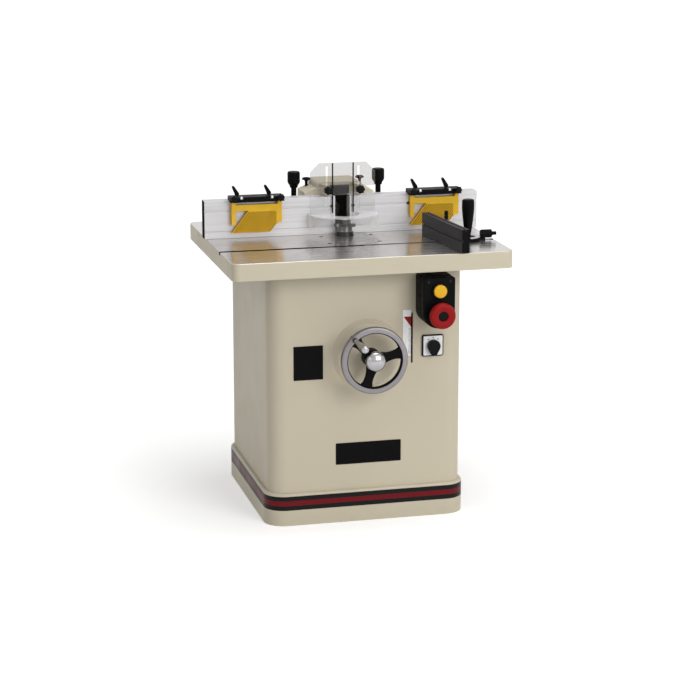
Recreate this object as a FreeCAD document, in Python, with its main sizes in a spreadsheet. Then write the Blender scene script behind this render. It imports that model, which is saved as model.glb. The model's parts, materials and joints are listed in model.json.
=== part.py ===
import FreeCAD, Part
import math
import operator
import os
from types import SimpleNamespace

import Sketcher

# Spindle moulder: a cast table on a sheet-metal cabinet, with a lifting spindle, a split fence,
# a clear guard, two feather boards and a mitre gauge. Sizes are in millimetres. X points to the
# right of a person who stands at the machine, Y to its back and Z up. The origin is on the floor,
# under the axis of the spindle.

SIZES = {
    # Allowances
    "overrun": 5,
    "slide_gap": 0.3,
    "turn_gap": 0.05,
    # Table
    "table_width": 914,
    "table_depth": 762,
    "table_height": 890,
    "table_forward": 20,
    "table_edge": 55,
    "table_corner": 25,
    "table_round": 2,
    "table_plate": 20,
    "table_rim": 18,
    "table_pad": 25,
    "table_pad_margin": 10,
    "hub_half_width": 115,
    "hub_front": 140,
    "hub_back": 108,
    "table_bore_radius": 62,
    "insert_seat_radius": 76,
    "insert_thick": 12,
    "insert_step_radius": 54,
    "insert_ledge_radius": 44,
    "insert_inner_thick": 6,
    "insert_hole_radius": 32,
    "pin_hole_radius": 7,
    "pin_hole_deep": 16,
    "pin_hole_side": 84,
    "pin_hole_back": 15,
    "pin_hole_front": 135,
    "mitre_slot_width": 19,
    "mitre_slot_deep": 10,
    "mitre_slot_forward": 192,
    # Cabinet and plinth
    "cabinet_width": 644,
    "cabinet_front": 300,
    "cabinet_back": 345,
    "cabinet_wall": 3,
    "cabinet_corner": 55,
    "plinth_height": 108,
    "plinth_proud": 12,
    "plinth_wall": 4,
    "plinth_floor": 6,
    "plinth_flange": 6,
    "plinth_round": 7,
    "boss_radius": 116,
    "boss_face_radius": 102,
    "boss_height": 16,
    "bush_radius": 18,
    "bush_length": 44,
    "bush_proud": 16,
    # Rear door
    "door_open_width": 400,
    "door_open_bottom": 220,
    "door_open_height": 440,
    "door_lap": 14,
    "door_deep": 13,
    "door_sheet": 3,
    "door_seat_gap": 0.5,
    "hinge_radius": 6,
    "hinge_pin_radius": 3,
    "hinge_knuckle": 30,
    "hinge_inset": 60,
    "hinge_leaf": 3,
    "hinge_leaf_width": 26,
    "latch_radius": 17,
    "latch_deep": 16,
    "latch_shaft_radius": 6,
    "latch_inset": 26,
    "latch_wing": 8,
    "gland_x": 250,
    "gland_height": 190,
    "gland_radius": 15,
    "gland_deep": 26,
    "gland_bore_radius": 6,
    "gland_nut_deep": 9,
    "gland_step": 3,
    # Spindle lift
    "lift_drop": 20,
    "lift_rise": 55,
    "lift_margin": 6,
    "way_half_width": 80,
    "way_back": 82,
    "way_thick": 35,
    "way_below_wheel": 116,
    "way_flange": 18,
    "way_flange_side": 22,
    "way_flange_front": 20,
    "carriage_thick": 26,
    "carriage_height": 170,
    "carriage_drop": 130,
    "jaw_width": 24,
    "keeper_width": 22,
    "keeper_thick": 13,
    "housing_wall": 16,
    "housing_height": 95,
    "screw_forward": 150,
    "screw_radius": 10,
    "screw_below_wheel": 90,
    "screw_drop": 84,
    "screw_arm": 18,
    "screw_arm_wall": 12,
    "nut_over_wheel": 84,
    "nut_height": 40,
    "nut_radius": 16,
    "nut_flange": 5,
    "nut_arm_half": 22,
    "nut_slot_gap": 3,
    "bevel_far": 26,
    "bevel_near": 14,
    "pointer_thick": 3,
    "pointer_height": 12,
    "pointer_lift": 5,
    "pointer_proud": 3,
    # Spindle and cartridge
    "cartridge_radius": 50,
    "cartridge_height": 140,
    "cartridge_drop": 90,
    "cartridge_bore_radius": 30,
    "bearing_radius": 40,
    "bearing_height": 20,
    "bearing_lip": 2,
    "spindle_radius": 20,
    "spindle_tail": 60,
    "arbor_radius": 12.7,
    "arbor_drop": 14,
    "base_collar_radius": 29,
    "base_collar_height": 26,
    "spacer_radius": 25,
    "spacer_height": 18,
    "cutter_radius": 38,
    "cutter_hub_radius": 22,
    "cutter_height": 10,
    "cutter_wing": 15,
    "cutter_wings": 3,
    "cutter_turn": 200,
    "nut_across": 36,
    "nut_tall": 12,
    "arbor_proud": 4,
    # Motor and belt
    "motor_back": 190,
    "motor_radius": 92,
    "motor_height": 230,
    "motor_hang": 90,
    "motor_flange_radius": 98,
    "motor_flange": 15,
    "fan_cover_radius": 86,
    "fan_cover": 27,
    "motor_shaft_radius": 11,
    "motor_shaft_reach": 75,
    "motor_shaft_seat": 28,
    "motor_plate": 15,
    "motor_plate_half": 98,
    "motor_post_radius": 8,
    "motor_post_side": 80,
    "motor_post_reach": 40,
    "terminal_width": 80,
    "terminal_deep": 30,
    "terminal_height": 90,
    "terminal_proud": 34,
    "spindle_pulley_radius": 31,
    "motor_pulley_radius": 62,
    "pulley_lift": 8,
    "pulley_height": 32,
    "pulley_rim": 3,
    "belt_thick": 4,
    "belt_width": 24,
    # Handwheel
    "wheel_drop": 334,
    "wheel_radius": 109,
    "rim_width": 21,
    "rim_deep": 22,
    "rim_round": 8,
    "wheel_standoff": 62,
    "hub_radius": 30,
    "hub_deep": 60,
    "hub_standoff": 20,
    "spoke_root_width": 44,
    "spoke_waist_width": 27,
    "spoke_tip_width": 38,
    "spoke_flare": 14,
    "spoke_deep": 14,
    "spoke_turn": 13,
    "spoke_count": 3,
    "shaft_radius": 9,
    "shaft_seat": 30,
    "crank_pin_radius": 5,
    "crank_root_radius": 6,
    "crank_neck_radius": 7.5,
    "crank_grip_radius": 13,
    "crank_length": 140,
    "crank_nut_radius": 9,
    "crank_nut": 5,
    "lock_radius": 33,
    "lock_face_radius": 20,
    "lock_deep": 30,
    "lock_skirt": 10,
    "lock_stud_radius": 5,
    # Front controls
    "slot_x": 148.5,
    "slot_width": 6,
    "slot_below_pointer": 77,
    "slot_height": 166,
    "plate_thick": 1.5,
    "scale_left": 118,
    "scale_width": 27,
    "scale_lift": 24,
    "scale_height": 152,
    "label_x": -195,
    "label_width": 97,
    "label_below_wheel": 19,
    "label_height": 112,
    "name_plate_x": 4,
    "name_plate_width": 218,
    "name_plate_z": 228,
    "name_plate_height": 72,
    "box_left": 160,
    "box_width": 105,
    "box_drop": 22,
    "box_straight": 113,
    "box_chamfer": 14,
    "box_deep": 92,
    "box_wall": 5,
    "box_front_wall": 18,
    "start_drop": 42,
    "start_radius": 21,
    "start_deep": 22,
    "start_proud": 16,
    "button_travel": 4,
    "stop_drop": 116,
    "stop_radius": 42,
    "stop_deep": 22,
    "stop_core_radius": 15,
    "stop_core_deep": 9,
    "stop_stem_radius": 17,
    "stop_stem": 8,
    "stop_travel": 5,
    "stop_stand": 23,
    "stop_round": 7,
    "selector_x": 217,
    "selector_drop": 240,
    "selector_width": 71,
    "selector_deep": 9,
    "selector_corner": 6,
    "knob_radius": 21,
    "knob_deep": 18,
    "knob_tail": 31,
    "knob_tail_width": 15,
    "knob_stem_radius": 6,
    "knob_stem": 6,
    # Fence and hood
    "fence_face": 30,
    "fence_thick": 43,
    "fence_height": 125,
    "fence_gap": 49,
    "fence_reach": 464,
    "fence_wall": 4,
    "fence_groove_drop": 30,
    "fence_groove": 6,
    "fence_groove_deep": 3,
    "fence_line_drop": 100,
    "fence_line": 2,
    "fence_top_round": 2,
    "hood_half_width": 78,
    "hood_back": 197,
    "hood_height": 166,
    "hood_round": 14,
    "hood_mouth_half": 34,
    "hood_mouth_height": 156,
    "hood_wall": 10,
    "port_radius": 38,
    "port_wall": 3,
    "port_length": 55,
    "port_z": 56,
    "port_side": 6,
    "shoulder_reach": 118,
    "shoulder_height": 148,
    "shoulder_end_height": 132,
    "shoulder_back": 180,
    "foot_reach": 182,
    "foot_back": 180,
    "foot_thick": 18,
    "foot_slot_travel": 26,
    "foot_slot_gap": 1,
    "clamp_x": 145,
    "clamp_y": 118,
    "clamp_stud_radius": 6,
    "clamp_stud_deep": 20,
    "clamp_washer_radius": 16,
    "clamp_washer": 5,
    "clamp_stem_radius": 9,
    "clamp_neck_radius": 14,
    "clamp_neck": 17,
    "clamp_head_radius": 21,
    "clamp_head": 38,
    "clamp_top": 199,
    "lock_knob_x": 92,
    "lock_knob_y": 162,
    "lock_knob_stem_radius": 5,
    "lock_knob_stem": 15,
    "lock_knob_cap_radius": 15,
    "lock_knob_cap": 9,
    "lock_knob_stud": 18,
    # Guard
    "guard_half_width": 110,
    "guard_thick": 4,
    "guard_bottom": 27,
    "guard_top": 237,
    "guard_chamfer": 30,
    "guard_slot_x": 54,
    "guard_slot_width": 8,
    "guard_slot_bottom": 84,
    "guard_slot_top": 226,
    "guard_notch_half": 33,
    "guard_notch_top": 130,
    "guard_rib": 4,
    "guard_bolt_z": 150,
    "guard_arm_half": 11,
    "guard_arm_height": 26,
    "visor_radius": 118,
    "visor_height": 43,
    "visor_thick": 4,
    "visor_bottom": 28,
    "visor_hole_radius": 50,
    "guard_knob_radius": 15,
    "guard_knob_deep": 36,
    "guard_knob_neck_radius": 9,
    "guard_knob_neck": 18,
    "guard_knob_round": 5,
    "guard_stud": 22,
    # Feather boards
    "feather_left": -382,
    "feather_right": 223,
    "feather_bar_length": 179,
    "feather_bar_front": 30,
    "feather_bar_low": 3,
    "feather_bar_high": 14,
    "feather_hook": 22,
    "feather_hole_radius": 5,
    "feather_comb_inset": 5,
    "feather_comb_width": 168,
    "feather_comb_thick": 14,
    "feather_comb_stand": 4,
    "feather_rail": 14,
    "feather_rail_top": 140,
    "feather_rail_bottom": 46,
    "feather_beam_top": 112,
    "feather_beam_bottom": 92,
    "feather_tip": 19,
    "feather_heel": 51,
    "feather_heel_width": 12,
    "feather_heel_run": 30,
    "feather_lean": 56,
    "feather_slit": 3,
    "feather_pitch": 8.4,
    "feather_root": 6,
    "feather_knob_radius": 13,
    "feather_knob_deep": 11,
    "feather_knob_neck": 3,
    "feather_neck_radius": 7,
    "cam_radius": 7,
    "cam_width": 12,
    "cam_arm": 30,
    "cam_arm_width": 9,
    "cam_lean": 28,
    # Mitre gauge
    "mitre_bar_tail": 76,
    "mitre_bar_length": 422,
    "mitre_inset": 91,
    "mitre_turn": 6,
    "mitre_head_thick": 12,
    "mitre_head_radius": 42,
    "mitre_neck_half": 34,
    "mitre_flange_thick": 8,
    "mitre_flange_height": 46,
    "mitre_flange_half": 70,
    "mitre_block_reach": 106,
    "mitre_block_thick": 25,
    "mitre_block_height": 76,
    "mitre_block_front": 395,
    "mitre_block_back": 55,
    "mitre_block_groove": 6,
    "mitre_block_groove_deep": 4,
    "mitre_pin_radius": 8,
    "grip_radius": 20.5,
    "grip_waist_radius": 14,
    "grip_bottom": 42,
    "grip_top": 136,
    "grip_stem_radius": 10,
    "plunger_radius": 13,
    "plunger_reach": 58,
    "plunger_length": 22,
    "plunger_stub_radius": 6,
    "plunger_stub": 16,
    "plunger_z": 20,
    "plunger_post": 14,
    "lever_y": 170,
    "lever_z": 62,
    "lever_hub_radius": 9,
    "lever_hub": 10,
    "lever_arm": 36,
    "lever_arm_width": 9,
}

FEATHER_CAM_SHARES = (0.15, 0.746)
FEATHER_HOLE_SHARES = (0.21, 0.78)
CRANK_BULGE_SHARES = (0.10, 0.30, 0.72, 0.93)
HALF_SHARE = 0.5
TOUCH = 1e-6

OPERATIONS = {"+": operator.add, "-": operator.sub, "*": operator.mul, "/": operator.truediv}


class Size:
    """A number with the formula that gives it, so that sums of sizes stay bound to the sheet."""

    def __init__(self, value, formula):
        self.value = float(value)
        self.formula = formula

    def join(self, sign, other, swapped=False):
        other = as_size(other)
        first, second = (other, self) if swapped else (self, other)
        value = OPERATIONS[sign](first.value, second.value)
        return Size(value, "({} {} {})".format(first.formula, sign, second.formula))

    def __add__(self, other):
        return self.join("+", other)

    def __radd__(self, other):
        return self.join("+", other, swapped=True)

    def __sub__(self, other):
        return self.join("-", other)

    def __rsub__(self, other):
        return self.join("-", other, swapped=True)

    def __mul__(self, other):
        return self.join("*", other)

    def __rmul__(self, other):
        return self.join("*", other, swapped=True)

    def __truediv__(self, other):
        return self.join("/", other)

    def __neg__(self):
        return self.join("*", -1)

    def root(self):
        return Size(math.sqrt(self.value), "sqrt({})".format(self.formula))


def as_size(number):
    return number if isinstance(number, Size) else Size(number, "({!r})".format(float(number)))


doc = FreeCAD.newDocument("SpindleMoulder")
sheet = doc.addObject("Spreadsheet::Sheet", "dims")
d = SimpleNamespace()
for row, (alias, number) in enumerate(SIZES.items(), start=1):
    cell = "B{}".format(row)
    sheet.set("A{}".format(row), alias)
    sheet.set(cell, str(number))
    sheet.setAlias(cell, alias)
    setattr(d, alias, Size(number, "dims." + alias))
doc.recompute()

ZERO = as_size(0)
X_AXIS = FreeCAD.Vector(1, 0, 0)
Y_AXIS = FreeCAD.Vector(0, 1, 0)
Z_AXIS = FreeCAD.Vector(0, 0, 1)
UPRIGHT = FreeCAD.Rotation()
TURNS = {"x": FreeCAD.Rotation(Y_AXIS, 90), "y": FreeCAD.Rotation(X_AXIS, -90), "z": UPRIGHT}
NODES = []


# Building blocks

def bind(thing, sizes):
    for name, size in sizes.items():
        thing.setExpression(name, as_size(size).formula)


def place(thing, at, rotation=UPRIGHT):
    thing.Placement = FreeCAD.Placement(FreeCAD.Vector(), rotation)
    bind(thing, {"Placement.Base." + axis: size for axis, size in zip("xyz", at)})
    return thing


def block(name, x, y, z):
    """A box between the two planes given for each axis."""
    box = doc.addObject("Part::Box", name)
    bind(box, {"Length": x[1] - x[0], "Width": y[1] - y[0], "Height": z[1] - z[0]})
    return place(box, (x[0], y[0], z[0]))


def axis_point(axis, at, along):
    """The point at the height along on an axis, which crosses the other two planes at at."""
    spot = list(at)
    spot.insert("xyz".index(axis), along)
    return spot


def rod(name, axis, at, along, radius):
    """A cylinder along an axis."""
    cylinder = doc.addObject("Part::Cylinder", name)
    bind(cylinder, {"Radius": radius, "Height": along[1] - along[0]})
    return place(cylinder, axis_point(axis, at, along[0]), TURNS[axis])


def cone(name, axis, at, along, radii):
    """A cone frustum along an axis, with one radius for each end."""
    frustum = doc.addObject("Part::Cone", name)
    bind(frustum, {"Radius1": radii[0], "Radius2": radii[1], "Height": along[1] - along[0]})
    return place(frustum, axis_point(axis, at, along[0]), TURNS[axis])


def outline_sketch(body, plane, outline):
    """A closed outline of straight edges, each corner held by its two distances from the origin."""
    sketch = body.newObject("Sketcher::SketchObject", body.Name + "_outline")
    support = [face for face in body.Origin.OriginFeatures if face.Role == plane][0]
    sketch.AttachmentSupport = (support, [""])
    sketch.MapMode = "FlatFace"
    corners = [(as_size(u), as_size(v)) for u, v in outline]
    spots = [FreeCAD.Vector(u.value, v.value, 0) for u, v in corners]
    count = len(spots)
    for index, spot in enumerate(spots):
        sketch.addGeometry(Part.LineSegment(spot, spots[(index + 1) % count]), False)
    for index in range(count):
        sketch.addConstraint(Sketcher.Constraint("Coincident", index, 2, (index + 1) % count, 1))
    for index, (u, v) in enumerate(corners):
        for kind, size in (("DistanceX", u), ("DistanceY", v)):
            datum = sketch.addConstraint(Sketcher.Constraint(kind, -1, 1, index, 1, size.value))
            sketch.setExpression("Constraints[{}]".format(datum), size.formula)
    return sketch


PLANES = {"xy": ("XY_Plane", "z"), "xz": ("XZ_Plane", "y"), "yz": ("YZ_Plane", "x")}


def prism(name, plane, outline, span):
    """An outline in the plane of two axes, padded between two places on the third."""
    role, normal = PLANES[plane]
    body = doc.addObject("PartDesign::Body", name)
    pad = body.newObject("PartDesign::Pad", name + "_pad")
    pad.Profile = outline_sketch(body, role, outline)
    bind(pad, {"Length": span[1] - span[0]})
    spot = dict.fromkeys("xyz", ZERO)
    spot[normal] = span[1] if normal == "y" else span[0]
    place(body, tuple(spot.values()))
    doc.recompute()
    return body


def turned(name, axis, at, outline):
    """A turned piece: corners are (radius, place along the axis)."""
    body = doc.addObject("PartDesign::Body", name)
    turn = body.newObject("PartDesign::Revolution", name + "_turn")
    profile = outline_sketch(body, "XZ_Plane", outline)
    turn.Profile = profile
    turn.ReferenceAxis = (profile, ["V_Axis"])
    turn.Angle = 360
    place(body, axis_point(axis, at, ZERO), TURNS[axis])
    doc.recompute()
    return body


def ring(name, axis, at, along, inner, outer):
    """A plain ring."""
    low, high = along
    return turned(name, axis, at, [(inner, low), (outer, low), (outer, high), (inner, high)])


def rounded(body, radius, wanted):
    """Rounds the edges of a body that wanted picks."""
    base = body.Tip
    names = ["Edge{}".format(index) for index, edge in enumerate(base.Shape.Edges, start=1)
             if wanted(edge)]
    fillet = body.newObject("PartDesign::Fillet", body.Name + "_round")
    fillet.Base = (base, names)
    bind(fillet, {"Radius": radius})
    doc.recompute()
    return body


def runs_along(direction):
    """Picks the straight edges along a direction."""
    def wanted(edge):
        if not isinstance(edge.Curve, Part.Line):
            return False
        return abs(abs(edge.Curve.Direction.dot(direction)) - 1) < TOUCH
    return wanted


def lies_at(axis, place_along):
    """Picks the edges that lie in one plane across an axis of the body itself."""
    def wanted(edge):
        return all(abs(vertex.Point["xyz".index(axis)] - place_along.value) < TOUCH
                   for vertex in edge.Vertexes)
    return wanted


def rounded_block(name, x, y, z, corner):
    """An upright block with round vertical corners."""
    outline = [(x[0], y[0]), (x[1], y[0]), (x[1], y[1]), (x[0], y[1])]
    return rounded(prism(name, "xy", outline, z), corner, runs_along(Z_AXIS))


def fuse(name, *pieces):
    joined = doc.addObject("Part::MultiFuse", name)
    joined.Shapes = list(pieces)
    joined.Refine = True
    doc.recompute()
    return joined


def cut(name, base, *tools):
    result = doc.addObject("Part::Cut", name)
    result.Base = base
    result.Tool = tools[0] if len(tools) == 1 else fuse(name + "_tools", *tools)
    result.Refine = True
    doc.recompute()
    return result


def group(name, *pieces):
    """Separate solids that share one node."""
    set_of_pieces = doc.addObject("Part::Compound", name)
    set_of_pieces.Links = list(pieces)
    doc.recompute()
    return set_of_pieces


def node(thing):
    """Marks a finished sub-part."""
    NODES.append(thing)
    return thing


def centred(middle, width):
    return (middle - width / 2, middle + width / 2)


def both(reach):
    return (-reach, reach)


def swing(radius, degrees):
    """The two legs of an arm of the given length at an angle."""
    return (radius * math.cos(math.radians(degrees)), radius * math.sin(math.radians(degrees)))


# Places that several sub-parts share

top = d.table_height
underside = top - d.table_edge
cabinet_half = d.cabinet_width / 2
front_wall = -d.cabinet_front
boss_face = front_wall - d.boss_height
wheel_height = top - d.wheel_drop
wheel_at = (ZERO, wheel_height)
axis_at = (ZERO, ZERO)
shaft_bore = d.shaft_radius + d.turn_gap
stud_bore = d.clamp_stud_radius + d.turn_gap
rim_back = boss_face - d.wheel_standoff
rim_front = rim_back - d.rim_deep
hub_back_face = boss_face - d.hub_standoff
hub_front_face = hub_back_face - d.hub_deep
screw_at = (ZERO, -d.screw_forward)
motor_at = (ZERO, d.motor_back)
fence_back = d.fence_face + d.fence_thick
fence_foot = top + d.slide_gap
fence_top = fence_foot + d.fence_height
slot_y = -d.mitre_slot_forward
way_bottom = wheel_height - d.way_below_wheel
screw_bottom = wheel_height - d.screw_below_wheel
screw_top = top - d.screw_drop
nut_bottom = wheel_height + d.nut_over_wheel
carriage_top = top - d.carriage_drop
carriage_bottom = carriage_top - d.carriage_height
housing_bottom = carriage_top - d.housing_height
cartridge_top = top - d.cartridge_drop
cartridge_bottom = cartridge_top - d.cartridge_height
spindle_bottom = cartridge_bottom - d.spindle_tail
pulley_bottom = spindle_bottom + d.pulley_lift
arbor_bottom = top - d.arbor_drop
motor_top = housing_bottom - d.motor_hang
motor_bottom = motor_top - d.motor_height
motor_shaft_top = motor_top + d.motor_shaft_reach
pointer_bottom = carriage_bottom + d.pointer_lift
slot_bottom = pointer_bottom - d.slot_below_pointer


# Cabinet

def plinth():
    half = cabinet_half + d.plinth_proud
    front = front_wall - d.plinth_proud
    back = d.cabinet_back + d.plinth_proud
    height = d.plinth_height
    outside = rounded_block("plinth_outside", both(half), (front, back), (ZERO, height),
                            d.cabinet_corner + d.plinth_proud)
    rounded(outside, d.plinth_round, lies_at("z", height))
    wall = d.plinth_wall
    hollow = rounded_block("plinth_hollow", both(half - wall), (front + wall, back - wall),
                           (d.plinth_floor, height - d.plinth_flange),
                           d.cabinet_corner + d.plinth_proud - wall)
    lap = d.cabinet_wall + d.table_pad
    opening = rounded_block("plinth_opening", both(cabinet_half - lap),
                            (front_wall + lap, d.cabinet_back - lap),
                            (d.plinth_floor + d.plinth_flange, height + d.overrun),
                            d.cabinet_corner - lap / 2)
    return cut("plinth", outside, hollow, opening)


def cabinet_shell():
    tall = (d.plinth_height, underside)
    depth = (front_wall, d.cabinet_back)
    wall = d.cabinet_wall
    outside = rounded_block("cabinet_outside", both(cabinet_half), depth, tall, d.cabinet_corner)
    inside = rounded_block("cabinet_inside", both(cabinet_half - wall),
                           (depth[0] + wall, depth[1] - wall),
                           (tall[0] - d.overrun, tall[1] + d.overrun), d.cabinet_corner - wall)
    radii = (d.boss_face_radius, d.boss_radius)
    boss = cone("boss_outside", "y", wheel_at, (boss_face, front_wall), radii)
    boss_hollow = cone("boss_hollow", "y", wheel_at, (boss_face + wall, front_wall + wall), radii)
    slot = block("scale_slot", centred(d.slot_x, d.slot_width),
                 (front_wall - d.overrun, front_wall + wall + d.overrun),
                 (slot_bottom, slot_bottom + d.slot_height))
    doorway = block("doorway", both(d.door_open_width / 2),
                    (d.cabinet_back - wall - d.overrun, d.cabinet_back + d.overrun),
                    (d.door_open_bottom, d.door_open_bottom + d.door_open_height))
    cable_hole = rod("cable_hole", "y", (d.gland_x, d.gland_height),
                     (d.cabinet_back - wall - d.overrun, d.cabinet_back + d.overrun),
                     d.gland_bore_radius)
    walls = cut("cabinet_walls", fuse("cabinet_mass", outside, boss), inside, boss_hollow, slot, doorway,
                cable_hole)
    bush_span = (boss_face - d.bush_proud, boss_face + d.bush_length)
    bush = rod("bush", "y", wheel_at, bush_span, d.bush_radius)
    bore = rod("bush_bore", "y", wheel_at, (bush_span[0] - d.overrun, bush_span[1] + d.overrun),
               shaft_bore)
    return cut("cabinet_shell", fuse("cabinet_with_bush", walls, bush), bore)


def table():
    half = d.table_width / 2
    middle = -d.table_forward
    slab = rounded_block("table_slab", both(half), centred(middle, d.table_depth), (underside, top),
                         d.table_corner)
    rounded(slab, d.table_round, lies_at("z", d.table_edge))
    hollow = (underside - d.overrun, top - d.table_plate)
    side = (cabinet_half + d.table_pad_margin, half - d.table_rim)
    inner = cabinet_half - d.cabinet_wall - d.table_pad
    inner_front = front_wall + d.cabinet_wall + d.table_pad
    inner_back = d.cabinet_back - d.cabinet_wall - d.table_pad
    hub = (-d.hub_front, d.hub_back)
    side_depth = centred(middle, d.table_depth - 2 * d.table_rim)
    pockets = [
        block("pocket_left", (-side[1], -side[0]), side_depth, hollow),
        block("pocket_right", side, side_depth, hollow),
        block("pocket_front", both(cabinet_half - d.table_rim),
              (side_depth[0], front_wall - d.table_pad_margin), hollow),
        block("pocket_inner_front", both(inner), (inner_front, hub[0]), hollow),
        block("pocket_inner_back", both(inner), (hub[1], inner_back), hollow),
        block("pocket_inner_left", (-inner, -d.hub_half_width), hub, hollow),
        block("pocket_inner_right", (d.hub_half_width, inner), hub, hollow),
    ]
    through = (underside - d.overrun, top + d.overrun)
    bores = [
        rod("table_bore", "z", axis_at, through, d.table_bore_radius),
        rod("insert_seat", "z", axis_at, (top - d.insert_thick, through[1]), d.insert_seat_radius),
    ]
    for side_name, side_x in (("left", -1), ("right", 1)):
        for row_name, row_y in (("back", -d.pin_hole_back), ("front", -d.pin_hole_front)):
            bores.append(rod("pin_hole_{}_{}".format(side_name, row_name), "z",
                             (d.pin_hole_side * side_x, row_y),
                             (top - d.pin_hole_deep, through[1]), d.pin_hole_radius))
        bores.append(rod("stud_hole_" + side_name, "z", (d.clamp_x * side_x, d.clamp_y),
                         through, stud_bore))
    slot = block("mitre_slot", both(half + d.overrun), centred(slot_y, d.mitre_slot_width),
                 (top - d.mitre_slot_deep, top + d.overrun))
    return cut("table", slab, slot, *pockets, *bores)


def insert_ring_outer():
    low = top - d.insert_thick
    step = top - d.insert_inner_thick
    outline = [(d.insert_ledge_radius, low), (d.insert_seat_radius - d.slide_gap, low),
               (d.insert_seat_radius - d.slide_gap, top), (d.insert_step_radius, top),
               (d.insert_step_radius, step), (d.insert_ledge_radius, step)]
    return turned("insert_ring_outer", "z", axis_at, outline)


def insert_ring_inner():
    return ring("insert_ring_inner", "z", axis_at, (top - d.insert_inner_thick, top),
                d.insert_hole_radius, d.insert_step_radius - d.slide_gap)


# Rear door

door_face = d.cabinet_back + d.door_seat_gap
door_half = d.door_open_width / 2 + d.door_lap
door_low = d.door_open_bottom - d.door_lap
door_high = d.door_open_bottom + d.door_open_height + d.door_lap
hinge_at = (-door_half - d.hinge_radius - d.slide_gap, door_face + d.hinge_radius)
latch_at = (door_half - d.latch_inset, (door_low + door_high) / 2)
hinge_heights = (door_low + d.hinge_inset, door_high - d.hinge_inset - 2 * d.hinge_knuckle)


def rear_door():
    deep = (door_face, door_face + d.door_deep)
    sheet_in = d.door_sheet
    tray = block("door_tray", both(door_half), deep, (door_low, door_high))
    hollow = block("door_hollow", both(door_half - sheet_in), (deep[0] - d.overrun, deep[1] - sheet_in),
                   (door_low + sheet_in, door_high - sheet_in))
    shaft_hole = rod("latch_hole", "y", latch_at, (deep[0], deep[1] + d.overrun),
                     d.latch_shaft_radius + d.turn_gap)
    pieces = [cut("door_panel", tray, hollow, shaft_hole)]
    bores = []
    for index, low in enumerate(hinge_heights):
        knuckle = (low + d.hinge_knuckle + d.slide_gap, low + 2 * d.hinge_knuckle)
        pieces.append(rod("door_knuckle_{}".format(index), "z", hinge_at, knuckle, d.hinge_radius))
        pieces.append(block("door_strap_{}".format(index), (hinge_at[0], -door_half + sheet_in),
                            (hinge_at[1], hinge_at[1] + d.hinge_leaf), knuckle))
        bores.append(rod("door_bore_{}".format(index), "z", hinge_at,
                         (knuckle[0] - d.overrun, knuckle[1] + d.overrun),
                         d.hinge_pin_radius + d.turn_gap))
    return cut("rear_door", fuse("door_with_knuckles", *pieces), *bores)


def door_hinges():
    hinges = []
    leaf_right = hinge_at[0] - d.hinge_radius - d.slide_gap
    for index, low in enumerate(hinge_heights):
        knuckle = (low, low + d.hinge_knuckle)
        leaf = block("hinge_leaf_{}".format(index), (leaf_right - d.hinge_leaf_width, leaf_right),
                     (d.cabinet_back, d.cabinet_back + d.hinge_leaf),
                     (low, low + 2 * d.hinge_knuckle))
        link = block("hinge_link_{}".format(index), (leaf_right, hinge_at[0]),
                     (d.cabinet_back, d.cabinet_back + d.hinge_leaf), knuckle)
        barrel = rod("hinge_barrel_{}".format(index), "z", hinge_at, knuckle, d.hinge_radius)
        pin = rod("hinge_pin_{}".format(index), "z", hinge_at, (low, low + 2 * d.hinge_knuckle),
                  d.hinge_pin_radius)
        hinges.append(fuse("hinge_{}".format(index), leaf, link, barrel, pin))
    return group("door_hinges", *hinges)


def door_latch():
    face = door_face + d.door_deep
    start = face + d.slide_gap
    end = start + d.latch_deep
    knob = rod("latch_knob", "y", latch_at, (start, start + d.latch_deep / 2), d.latch_radius)
    wing = block("latch_grip", centred(latch_at[0], d.latch_wing), (start, end),
                 centred(latch_at[1], 2 * d.latch_radius - d.latch_wing))
    shaft = rod("latch_shaft", "y", latch_at, (face - d.door_sheet - d.latch_wing, start + d.latch_wing),
                d.latch_shaft_radius)
    return fuse("door_latch", knob, wing, shaft)


def cable_gland():
    at = (d.gland_x, d.gland_height)
    face = d.cabinet_back
    nut_end = face + d.gland_nut_deep
    tip = face + d.gland_deep
    cap = d.gland_radius - d.gland_step
    outline = [(d.gland_bore_radius, face), (d.gland_radius, face), (d.gland_radius, nut_end),
               (cap, nut_end), (cap, tip - d.gland_step), (cap - d.gland_step, tip),
               (d.gland_bore_radius, tip)]
    return turned("cable_gland", "y", at, outline)


# Spindle lift

way_front = -d.way_back - d.way_thick
carriage_front = -d.way_back + d.slide_gap
carriage_back = carriage_front + d.carriage_thick
carriage_half = d.way_half_width + d.slide_gap + d.jaw_width
nut_top = nut_bottom + d.nut_height
keeper_back = way_front - d.slide_gap
keeper_front = keeper_back - d.keeper_thick
screw_bore = d.screw_radius + d.turn_gap
pulley_span = (pulley_bottom, pulley_bottom + d.pulley_height)


def way_casting():
    plate = block("way_plate", both(d.way_half_width), (way_front, -d.way_back), (way_bottom, underside))
    flange = block("way_top_flange", both(d.way_half_width + d.way_flange_side),
                   (way_front - d.way_flange_front, -d.way_back), (underside - d.way_flange, underside))
    arm_reach = -d.screw_forward - d.screw_radius - d.screw_arm_wall
    arm_half = d.screw_radius + d.screw_arm_wall
    arm_depth = (arm_reach, way_front)
    low_arm = block("screw_arm_low", both(arm_half), arm_depth,
                    (screw_bottom, screw_bottom + d.screw_arm))
    high_arm = block("screw_arm_high", both(arm_half), arm_depth,
                     (screw_top - d.screw_arm, screw_top))
    slot = block("nut_slot", both(d.nut_arm_half + d.nut_slot_gap),
                 (way_front - d.overrun, -d.way_back + d.overrun),
                 (nut_bottom - d.lift_drop - d.lift_margin, nut_top + d.lift_rise + d.lift_margin))
    bore = rod("screw_bores", "z", screw_at, (screw_bottom - d.overrun, screw_top + d.overrun),
               screw_bore)
    return cut("way_casting", fuse("way_mass", plate, flange, low_arm, high_arm), slot, bore)


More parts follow.
